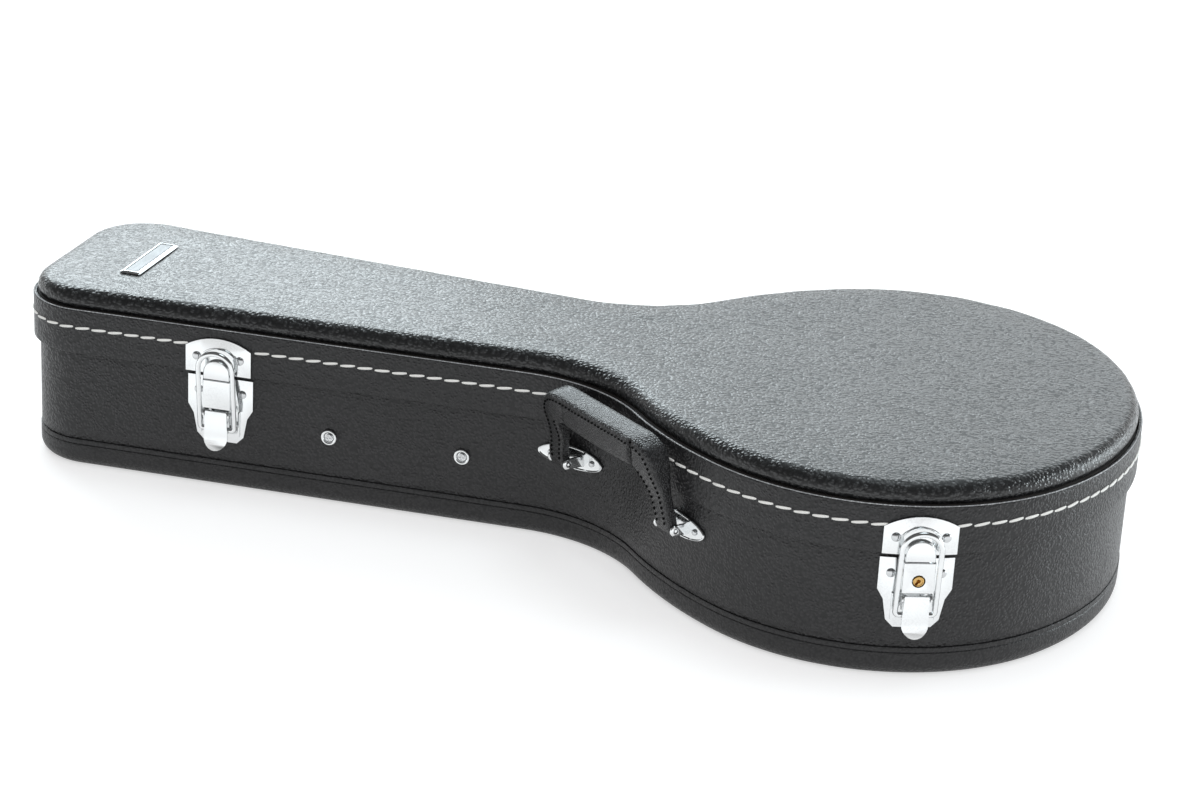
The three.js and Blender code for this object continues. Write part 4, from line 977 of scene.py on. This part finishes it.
def bail_points():
    end = SPLIT - PIN_DROP - BAIL_END_DROP
    top = SPLIT + BAIL_ARCH_RISE
    slope = (BAIL_TOP_OUT - BAIL_END_OUT) / (top - end)
    half = BAIL_HALF_WIDTH
    flat = [(half - BAIL_GRIP, end), (half - BAIL_GRIP / 2, end)]
    flat += arc(half - BAIL_BEND, end + BAIL_BEND, BAIL_BEND, 270, 360, 6)
    flat += [(half, end + (top - end) * i / 5) for i in range(1, 5)]
    flat += arc(0.0, top, half, 0, 90, 14)
    flat += [(-x, z) for x, z in reversed(flat[:-1])]
    return [(x, z, BAIL_END_OUT + slope * (z - end)) for x, z in flat]


for latch, spot in LATCHES.items():
    wire = put(wall_place(*spot, OVERHANG), tube(bail_points(), BAIL_WIRE, 16))
    part(f"{latch}_bail_wire", wire, CHROME, f"{latch}_bail", "chrome", f"{latch}_bail", sharp=60)
    for name, bevel in (("keeper", 0.3), ("latch_plate", 0.3), ("lever", 0.25)):
        refined(f"{latch}_{name}_fitted", f"{latch}_{name}", CHROME, "chrome", bevel)
    refined(f"{latch}_lever_pin_fitted", f"{latch}_lever_pin", STEEL, "steel", 0.2)


def cut_away(name, form, cutter, material, sharp):
    """The form less the cutter, both as vertices and faces in millimetres."""
    whole = piece(name, *form, material, sharp)
    tool = piece(name + "_cutter", *cutter, material, sharp)
    modifier = whole.modifiers.new("cut", "BOOLEAN")
    modifier.operation = "DIFFERENCE"
    modifier.solver = "EXACT"
    modifier.object = tool
    made = applied(whole)
    for used in (whole, tool):
        bpy.data.objects.remove(used)
    return finished(name, made, material, sharp)


def lock_plug():
    """A turned brass plug with a round lip, a dished face and a keyhole turned a little to one side."""
    high, radius = LOCK_FACE, LOCK_RADIUS
    profile = [(0.0, LOCK_FOOT), (radius, LOCK_FOOT), (radius, high - LOCK_LIP)]
    profile += arc(radius - LOCK_LIP, high - LOCK_LIP, LOCK_LIP, 0, 90, 4)
    profile += [(radius - 0.8, high), (radius - 1.0, high - 0.35), (0.0, high - 0.5)]
    matrix = wall_place(*LATCHES["body"], OVERHANG, 0.0, LOCK_HEIGHT)
    turn = matrix @ Matrix.Rotation(radians(KEYHOLE_TURN), 4, "Z")
    slot = [(-KEYHOLE_SLOT, -2.9), (KEYHOLE_SLOT, -2.9), (KEYHOLE_SLOT, -0.6)]
    slot += arc(0.0, 0.0, KEYHOLE_RADIUS, -35, 215, 14) + [(-KEYHOLE_SLOT, -0.6)]
    walls = [(x, y, z) for z in (high - 4.0, high + 1.0) for x, y in slot]
    cutter = put(turn, (walls, skin(len(slot), 2, ends=True)))
    return cut_away("body_lock_plug", put(matrix, lathe(profile, 48)), cutter, BRASS, 40)


carried(lock_plug(), "lock", "brass", "body_lock")


def rivet_point(matrix):
    """The place of a rivet, and the directions out of its plate and along it."""
    turn = matrix.to_3x3()
    return (tuple(matrix.translation), tuple(turn.col[2]), tuple(turn.col[0]))


def rivet_form(name, radius, rise, sides):
    steps = 6
    profile = [(0.0, -0.25), (radius, -0.25), (radius, 0.0)]
    for i in range(1, steps):
        angle = pi / 2 * i / steps
        profile.append((radius * cos(angle), rise * sin(angle)))
    return form_object(name, *lathe(profile + [(0.0, rise)], sides))


def rivets(name, form, spots, body):
    """Spots are pairs of a rivet's place and the CAD node that it stands for."""
    points, nodes = [spot[0] for spot in spots], [spot[1] for spot in spots]
    carried(scattered(name, ON_POINTS, [points], form, STEEL), body, "steel", *nodes)


rivet_head = rivet_form("rivet_head_form", 2.8, 1.3, 24)
for word, body, rivet in (("keeper", "lid", KEEPER_RIVET), ("plate", "base", PLATE_RIVET)):
    inset, aside, height = rivet
    spots = []
    for latch, spot in LATCHES.items():
        for side, hand in ((-1, "left"), (1, "right")):
            matrix = wall_place(*spot, inset, side * aside, height, RIVET_FOOT)
            spots.append((rivet_point(matrix), f"{latch}_{word}_rivet_{hand}"))
    rivets(f"{word}_rivets", rivet_head, spots, body)

# Cup washers and screws in the near wall
CUP_HEIGHT = 47.2
CUP_PLACES = (("head", 350.567), ("waist", 261.967))
CUP_DISH = [(4.1, 2.0), (3.6, 1.75), (3.3, 1.3), (2.9, 0.75), (0.0, 0.7)]
cup_profile = [(0.0, 0.3), (5.2, 0.3), (5.2, 0.7)] + arc(4.5, 1.4, 0.7, 0, 90, 5) + CUP_DISH
for spot, place in CUP_PLACES:
    cup = put(wall_place(None, place, OVERHANG, 0.0, CUP_HEIGHT), lathe(cup_profile))
    part(f"{spot}_cup_washer_turned", cup, CHROME, "base", "chrome", f"{spot}_cup_washer", sharp=50)
    refined(f"{spot}_screw_fitted", f"{spot}_screw", STEEL, "steel", 0.1)

# Handle. In its own frame x runs along it, y is its height over the pins and z its depth.
HANDLE_MIDDLE = (-143.49807, -93.92197)
HANDLE_OUT = (-0.6100237, -0.7923832)
PIN_SPAN = 112.46996
PIN_HEIGHT = 60.5
PIN_OUT = 9.8
HANDLE_LEAN = 11.0
HANDLE_HEIGHT = 56.0
LEG_WIDTH = 14.0
LEG_SLOPE = 6.2
LEG_TOP = (18, 44)
GRIP_HEIGHT = 20.0
GRIP_DEPTH = 17.0
LEG_DEPTH = 7.0
OUTER_CORNER = 15.0
INNER_CORNER = 5.0
FOOT_STEPS = 6
LEG_STEPS = 10
CORNER_STEPS = 20
GRIP_STEPS = 40
GRIP_SIDES = 36
SECTION_POWER = 6.0
LEG_FOOT = 6.0
GRIP_WAIST = 1.2
CREASE_DEPTH = 8.0
RIGHT_CREASE = 36.0
LEFT_CREASE = -35.0
handle_frame = wall_frame(*HANDLE_MIDDLE, *HANDLE_OUT)
grip_frame = handle_frame @ Matrix.Translation((0.0, PIN_HEIGHT, PIN_OUT))
grip_frame = grip_frame @ Matrix.Rotation(radians(HANDLE_LEAN), 4, "X")


def between(points, share):
    """A point on the line between two points, or on a curve that the one in the middle draws aside."""
    while len(points) > 1:
        points = [tuple(p + (q - p) * share for p, q in zip(a, b)) for a, b in zip(points, points[1:])]
    return points[0]


def handle_stations():
    """The handle from foot to foot, as pairs of an outer and an inner point."""
    foot = PIN_SPAN / 2
    outer_top = foot + LEG_WIDTH / 2 - LEG_SLOPE
    inner_top = outer_top - LEG_WIDTH
    under = HANDLE_HEIGHT - GRIP_HEIGHT
    low = -LEG_DEPTH / 2
    outer_foot, inner_foot = (foot + LEG_WIDTH / 2, LEG_FOOT), (foot - LEG_WIDTH / 2, LEG_FOOT)
    outer_bend = (outer_top + LEG_SLOPE * 0.18, HANDLE_HEIGHT - OUTER_CORNER - 3)
    inner_bend = (inner_top, under - INNER_CORNER)
    outer_end = (outer_top - OUTER_CORNER - 4, HANDLE_HEIGHT)
    inner_end = (inner_top - INNER_CORNER, under)
    outer_curve = (outer_bend, (outer_top, HANDLE_HEIGHT), outer_end)
    stretches = (
        (FOOT_STEPS, ((outer_foot[0], low), outer_foot), ((inner_foot[0], low), inner_foot)),
        (LEG_STEPS, (outer_foot, outer_bend), (inner_foot, inner_bend)),
        (CORNER_STEPS, outer_curve, (inner_bend, (inner_top, under), inner_end)),
        (GRIP_STEPS, (outer_end, (0.0, HANDLE_HEIGHT)), (inner_end, (0.0, under - GRIP_WAIST))),
    )
    half = []
    for steps, outer, inner in stretches:
        first = 1 if half else 0
        half += [(between(outer, i / steps), between(inner, i / steps)) for i in range(first, steps + 1)]
    return half + [((-o[0], o[1]), (-i[0], i[1])) for o, i in reversed(half[:-1])]


def smooth_step(value, low, high):
    share = min(max((value - low) / (high - low), 0.0), 1.0)
    return share * share * (3 - 2 * share)


def section_point(outer, inner, across, deep):
    """A point of the handle's section: across runs from the inner side (-1) to the outer side (1)."""
    share = (1 + across) / 2
    x, y = between((inner, outer), share)
    height, leg = (outer[1] + inner[1]) / 2, LEG_DEPTH / 2
    half = leg + (GRIP_DEPTH / 2 - leg) * smooth_step(height, *LEG_TOP)
    if height < 0:
        half = sqrt(max(leg**2 - height**2, 0.04))
    return x, y, half * deep


def fold(x, middle, width):
    return exp(-(((x - middle) / width) ** 2))


def crease_depth(x, height):
    """The folds in the leather where the grip meets its legs."""
    right_middle = RIGHT_CREASE + 0.08 * (height - 36)
    right = fold(x, right_middle, 1.3) * smooth_step(height, 56, 51)
    left = 0.3 * fold(x, LEFT_CREASE, 1.3) * smooth_step(height, 53, 40)
    return CREASE_DEPTH * max(right, left)


def leather_hills(x, y, z):
    return noise.noise(Vector((x * 0.06, y * 0.06, z * 0.08 + 4.0))) * 0.35


def handle_mesh():
    vertices = []
    stations = handle_stations()
    for outer, inner in stations:
        for c, s in circle(GRIP_SIDES):
            across, deep = (copysign(abs(part) ** (2 / SECTION_POWER), part) for part in (c, s))
            x, y, z = section_point(outer, inner, across, deep)
            crease = crease_depth(x, y) if z > 0 else 0.0
            vertices.append((x, y, z + leather_hills(x, y, z) - crease))
    return put(grip_frame, (vertices, skin(GRIP_SIDES, len(stations), ends=True)))


def seam_path(first, last, edge_gap, side):
    """A row of stitches on the front of the handle, along its outer (1) or inner (-1) edge."""
    path = []
    for outer, inner in handle_stations()[first:last]:
        across = side * (1 - edge_gap / (dist(outer, inner) / 2))
        deep = (1 - abs(across) ** SECTION_POWER) ** (1 / SECTION_POWER)
        x, y, z = section_point(outer, inner, across, deep)
        path.append(Vector((x, y, z + leather_hills(x, y, z) - crease_depth(x, y) + 0.3)))
    turn = grip_frame.to_3x3()
    out = tuple(turn.col[2])
    steps = [path[min(i + 1, len(path) - 1)] - path[max(i - 1, 0)] for i in range(len(path))]
    return [
        (tuple(grip_frame @ point), out, tuple((turn @ step).normalized()))
        for point, step in zip(path, steps)
    ]


grip = handle_mesh()
grip = part("leather_handle", grip, HANDLE_LEATHER, "handle", "leather", "handle_grip", sharp=60)
FOOT_CLEAR = 5
CORNER_BEGINS = 24
total = len(handle_stations())
seams = [
    seam_path(FOOT_CLEAR, total - FOOT_CLEAR, 4.0, 1),
    seam_path(FOOT_CLEAR, CORNER_BEGINS, 2.4, -1),
    seam_path(total - CORNER_BEGINS, total - FOOT_CLEAR, 2.4, -1),
]
handle_stitch = stitch_form("handle_stitch_form", 1.8, 1.3, 0.6)
sizes = dict(Spacing=3.4 * MM, Slant=0.0, Uneven=radians(5.0), Seed=5)
stitches = scattered("handle_stitches", ON_PATH, seams, handle_stitch, DARK_THREAD, **sizes)
carried(stitches, "handle", None)

# Pins and brackets of the handle
PIN_HALF = [(0.0, 8.064), (0.9, 8.064), (0.9, 9.026), (1.9, 9.1), (2.3, 8.804)]
BRACKET_SPOTS = (("left", waist_arc, radians(74.4)), ("right", shoulder_arc, radians(232.4)))
BRACKET_HALF_LENGTH = 24.0
BRACKET_HALF_HEIGHT = 7.6
BRACKET_SIDES = 64
BRACKET_RIVET_ASIDE = 15.5
BRACKET_RIVET_FOOT = 1.65
LUG_THICKNESS = 1.6
LUG_RADIUS = 3.6
LUG_GAP = 0.4
LUG_FLARE = 0.8
LUG_SECTION = ((-0.5, 0.3), (-0.32, 0.0), (0.32, 0.0), (0.5, 0.3))
RIM_SECTION = (
    (0.0, 0.3), (0.0, 1.15), (0.22, 1.62), (0.62, 1.8),
    (1.02, 1.62), (1.3, 1.2), (1.7, 1.1), (3.2, 1.1),
)
pin_profile = [(radius, -height) for radius, height in PIN_HALF] + PIN_HALF[::-1]
for side, word in ((-1, "left"), (1, "right")):
    matrix = handle_frame @ Matrix.Translation((side * PIN_SPAN / 2, PIN_HEIGHT, PIN_OUT))
    pin = put(matrix @ Matrix.Rotation(pi / 2, 4, "Y"), lathe(pin_profile, 24))
    part(f"{word}_handle_pin_turned", pin, STEEL, "base", "steel", f"{word}_handle_pin", sharp=50)


def bulge(wall, along):
    """How far a round wall stands out of its own tangent at a distance along it."""
    radius, hollow = wall[1] - wall[2] * OVERHANG, wall[2]
    return hollow * (sqrt(radius**2 - along**2) - radius)


def bracket_plate(wall, angle):
    """A pressed oval plate with a raised rim, bent to the wall."""
    sides = BRACKET_SIDES
    vertices = []
    for inset, out in RIM_SECTION:
        for c, s in circle(sides):
            x = (BRACKET_HALF_LENGTH - inset) * c
            vertices.append((x, PIN_HEIGHT + (BRACKET_HALF_HEIGHT - inset) * s, out + bulge(wall, x)))
    faces = skin(sides, len(RIM_SECTION))
    for first in (0, (len(RIM_SECTION) - 1) * sides):
        for k in range(sides // 2 - 1):
            faces.append((first + k, first + k + 1, first + sides - 2 - k, first + sides - 1 - k))
    return put(wall_place(wall, angle, OVERHANG), (vertices, faces))


def lug(wall, angle, middle):
    """One of the two ears that hold a pin of the handle, standing on the plate."""
    matrix = handle_frame.inverted() @ wall_place(wall, angle, OVERHANG)
    spots = [matrix @ Vector((x, 0.0, bulge(wall, x))) for x in range(-22, 23)]
    base = min(spots, key=lambda spot: abs(spot.x - middle)).z + 0.6
    low, high = PIN_HEIGHT - LUG_RADIUS, PIN_HEIGHT + LUG_RADIUS
    outline = [(base, low - LUG_FLARE), (base + 2.5, low)]
    outline += arc(PIN_OUT, PIN_HEIGHT, LUG_RADIUS, -90, 90, 14)
    outline += [(base + 2.5, high), (base, high + LUG_FLARE)]
    vertices = []
    for aside, trim in LUG_SECTION:
        for out, up in outline:
            inwards = Vector((out - PIN_OUT * 0.5, up - PIN_HEIGHT)).normalized() * trim
            back = inwards.x if out > base else 0.0
            vertices.append((middle + aside * LUG_THICKNESS, up - inwards.y, out - back))
    return put(handle_frame, (vertices, skin(len(outline), len(LUG_SECTION), ends=True)))


bracket_head = rivet_form("bracket_rivet_form", 2.0, 1.1, 20)
spots = []
for (word, wall, angle), side in zip(BRACKET_SPOTS, (-1, 1)):
    middle = side * PIN_SPAN / 2
    aside = LEG_WIDTH / 2 + LUG_GAP + LUG_THICKNESS / 2
    lugs = [lug(wall, angle, middle + shift) for shift in (-aside, aside)]
    bracket = together(bracket_plate(wall, angle), *lugs)
    part(f"{word}_bracket_pressed", bracket, CHROME, "base", "chrome", f"{word}_bracket", sharp=50)
    for end, spot in ((-1, "outer"), (1, "inner")):
        along = end * BRACKET_RIVET_ASIDE
        matrix = wall_place(wall, angle, OVERHANG, along, PIN_HEIGHT, BRACKET_RIVET_FOOT)
        spots.append((rivet_point(matrix), f"{word}_bracket_rivet_{spot}"))
rivets("bracket_rivets", bracket_head, spots, "base")

# Bare plate on the lid, and hinges
PLATE_PLACE = (-504.0, -3.5)
PLATE_LENGTH = 62.0
PLATE_WIDTH = 14.5
PLATE_FOOT = 124.9
FRAME_SECTION = (
    (0.6, 0.0), (0.1, 0.1), (0.0, 0.55), (0.3, 0.85), (1.7, 1.45),
    (2.1, 1.55), (2.45, 1.45), (2.6, 1.2), (2.6, 0.0),
)
FACE_SECTION = ((2.95, 0.3), (2.95, 1.05), (3.25, 1.25), (3.7, 1.32), (5.4, 1.45))


def plate_ring(inset, height):
    """A rectangle with round corners, at a distance inside the edge of the plate."""
    half_x, half_y = PLATE_WIDTH / 2 - inset, PLATE_LENGTH / 2 - inset
    radius = max(1.2 - inset * 0.3, 0.4)
    points = []
    for side_x, side_y, start in ((1, 1, 0), (-1, 1, 90), (-1, -1, 180), (1, -1, 270)):
        middle = (side_x * (half_x - radius), side_y * (half_y - radius))
        points += arc(*middle, radius, start, start + 90, 4)
    return [(PLATE_PLACE[0] + x, PLATE_PLACE[1] + y, PLATE_FOOT + height) for x, y in points]


def plate_form(section, closed):
    rings = [plate_ring(*row) for row in section]
    faces = skin(len(rings[0]), len(rings), closed, ends=not closed)
    return [point for points in rings for point in points], faces


edge, face = plate_form(FRAME_SECTION, True), plate_form(FACE_SECTION, False)
part("nameplate_bevelled_frame", edge, CHROME, "lid", "chrome", "nameplate_frame", sharp=50)
part("nameplate_bare_face", face, BRUSHED_STEEL, "lid", "steel", "nameplate", sharp=50)
for side in ("head_side", "tail_side"):
    for leaf in ("upper", "lower"):
        refined(f"{side}_hinge_{leaf}_leaf_fitted", f"{side}_hinge_{leaf}_leaf", CHROME, "chrome")
    refined(f"{side}_hinge_pin_fitted", f"{side}_hinge_pin", STEEL, "steel")

# Soft pieces inside the base
CRADLE_INSIDE = 38.65
CRADLE_START = 147.0
CRADLE_BOTTOM = 12.6
CRADLE_TOP = 62.6
CRADLE_ROUNDING = 5.0
CRADLE_END_ROWS = 4
CRADLE_END_SIZE = 0.86


def cradle_mesh():
    """The ring that holds the body of the instrument, open towards the neck and rounded at both ends."""
    held = [point for point in rim if point[0] > -CRADLE_START]
    section = rounded(PAD_INSET, CRADLE_INSIDE, CRADLE_BOTTOM, CRADLE_TOP, CRADLE_ROUNDING, 6)
    middle = ((PAD_INSET + CRADLE_INSIDE) / 2, (CRADLE_BOTTOM + CRADLE_TOP) / 2)
    vertices = []
    for n, (x, y, out_x, out_y) in enumerate(held):
        from_end = min(n, len(held) - 1 - n, CRADLE_END_ROWS) / CRADLE_END_ROWS
        shrink = CRADLE_END_SIZE + (1 - CRADLE_END_SIZE) * sqrt(1 - (1 - from_end) ** 2)
        for inset, height in section:
            soft = noise.noise(Vector((x * 0.02, y * 0.02, height * 0.03))) * 0.5 - 0.5
            inset = middle[0] + (inset - middle[0]) * shrink
            height = middle[1] + (height - middle[1]) * (shrink + soft * 0.02)
            vertices.append((x - out_x * inset, y - out_y * inset, height))
    return vertices, skin(len(section), len(held), ends=True)


cradle = plumped(piece("body_cradle_foam", *cradle_mesh(), BLACK_PLUSH, 60), 4.5)
carried(cradle, "base", "plush", "body_cradle")
rest = plumped(copy_of("neck_rest_foam", "neck_rest", BLACK_PLUSH, 2.5, 4, 60), 3.5)
carried(rest, "base", "plush", "neck_rest")
for name, bevel in (("head_partition", 1.2), ("waist_partition", 1.2), ("compartment_lid", 1.1)):
    refined(name + "_covered", name, BLACK_PLUSH, "plush", bevel, 3, 60)
refined("pull_tab_cut", "pull_tab", HANDLE_LEATHER, "leather", 0.45)
# The board shows in the groove between band and padded top; its near-black colour is painted shade
# there.
refined("lid_board_cut", "lid_board", SHADE_BLACK_BOARD, "board", 0.4)


# Stage, light and camera
FLOOR_HALF = 12.0
FLOOR_GLOW = 0.5
AMBIENT = 0.6
WHITE = (1.0, 1.0, 1.0, 1.0)
COOL = (0.89, 0.99, 1.03)
NEUTRAL = (0.97, 0.97, 1.0)


def seen_by_eye(tree):
    """1 for rays from the camera, and for those that a shine or a clear piece sends on."""
    path = node(tree, "ShaderNodeLightPath").outputs
    seen = calculate(tree, "MAXIMUM", path["Is Camera Ray"], path["Is Glossy Ray"])
    return calculate(tree, "MAXIMUM", seen, path["Is Transmission Ray"])


def pale_floor():
    made, tree, surface = material_of("pale_floor", (0.62, 0.62, 0.62), 0.9, Specular_IOR_Level=0.1)
    glow = calculate(tree, "MULTIPLY", seen_by_eye(tree), FLOOR_GLOW)
    join(tree, surface, {"Emission Color": WHITE, "Emission Strength": glow})
    mesh = bpy.data.meshes.new("floor")
    corners = [(x * FLOOR_HALF, y * FLOOR_HALF, 0.0) for x, y in ((-1, -1), (1, -1), (1, 1), (-1, 1))]
    mesh.from_pydata(corners, [], [(0, 1, 2, 3)])
    mesh.materials.append(made)
    return link(bpy.data.objects.new("floor", mesh))


def studio_world():
    """White where the camera looks. A shine sees it pale at the horizon and dark above."""
    world = bpy.data.worlds.new("studio")
    world.use_nodes = True
    tree = world.node_tree
    tree.nodes.clear()
    direction = node(tree, "ShaderNodeTexCoord").outputs["Generated"]
    height = node(tree, "ShaderNodeSeparateXYZ", {0: direction}).outputs
    facing = calculate(tree, "MULTIPLY", height["Y"], 0.16)
    fade = ramp(tree, calculate(tree, "SUBTRACT", height["Z"], facing), 0.1, 0.42, 1.0, 0.12)
    camera_ray = node(tree, "ShaderNodeLightPath").outputs["Is Camera Ray"]
    strength = calculate(tree, "MAXIMUM", fade, camera_ray)
    shown = node(tree, "ShaderNodeBackground", {"Color": WHITE, "Strength": strength}).outputs[0]
    ambient = node(tree, "ShaderNodeBackground", {"Color": WHITE, "Strength": AMBIENT}).outputs[0]
    mixed = node(tree, "ShaderNodeMixShader", {0: seen_by_eye(tree), 1: ambient, 2: shown}).outputs[0]
    node(tree, "ShaderNodeOutputWorld", {"Surface": mixed})
    return world


def lamp(name, place, target, width, height, power, colour=COOL):
    data = bpy.data.lights.new(name, "AREA")
    data.shape = "RECTANGLE"
    data.size, data.size_y = width, height
    data.energy = power
    data.color = colour
    made = link(bpy.data.objects.new(name, data))
    turn = (Vector(target) - Vector(place)).to_track_quat("-Z", "Y").to_matrix().to_4x4()
    made.matrix_world = Matrix.Translation(place) @ turn
    return made


pale_floor()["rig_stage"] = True
bpy.context.scene.world = studio_world()
lamp("back_softbox", (-1.95, 2.15, 1.6), (-0.3, 0.0, 0.1), 2.1, 1.4, 66.0)
lamp("far_softbox", (-0.1, 3.0, 1.8), (0.0, 0.0, 0.1), 2.2, 1.9, 27.0)
lamp("top_softbox", (0.2, 0.3, 2.4), (-0.1, 0.0, 0.0), 1.0, 1.0, 10.0)
lamp("tail_softbox", (2.4, 1.5, 0.55), (0.1, 0.0, 0.06), 1.6, 0.9, 42.0)
fill = lamp("front_softbox", (0.7, -2.5, 1.95), (-0.1, 0.0, 0.0), 2.0, 1.6, 36.0, NEUTRAL)
fill.visible_glossy = False

AZIMUTH, ELEVATION, ROLL = (radians(angle) for angle in (15.906, 22.299, 3.188))
DISTANCE, ASIDE, ABOVE = 1.94273, -0.17703, 0.10028
flat = cos(ELEVATION)
back = Vector((sin(AZIMUTH) * flat, -cos(AZIMUTH) * flat, sin(ELEVATION)))
right = Vector((cos(AZIMUTH), sin(AZIMUTH), 0.0))
up = back.cross(right)
level = right * cos(ROLL) + up * sin(ROLL)
upright = up * cos(ROLL) - right * sin(ROLL)
camera = bpy.data.cameras.new("camera")
camera.sensor_width = 36.0
camera.lens = 91.445
camera_object = link(bpy.data.objects.new("camera", camera))
turn = Matrix((level, upright, back)).transposed().to_4x4()
place = back * DISTANCE + level * ASIDE + upright * ABOVE
camera_object.matrix_world = Matrix.Translation(place) @ turn
bpy.context.scene.camera = camera_object
bpy.context.scene.view_settings.view_transform = "Standard"

visual_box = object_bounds()
sizes = {"cad": [list(corner) for corner in cad_box], "visual": [list(corner) for corner in visual_box]}
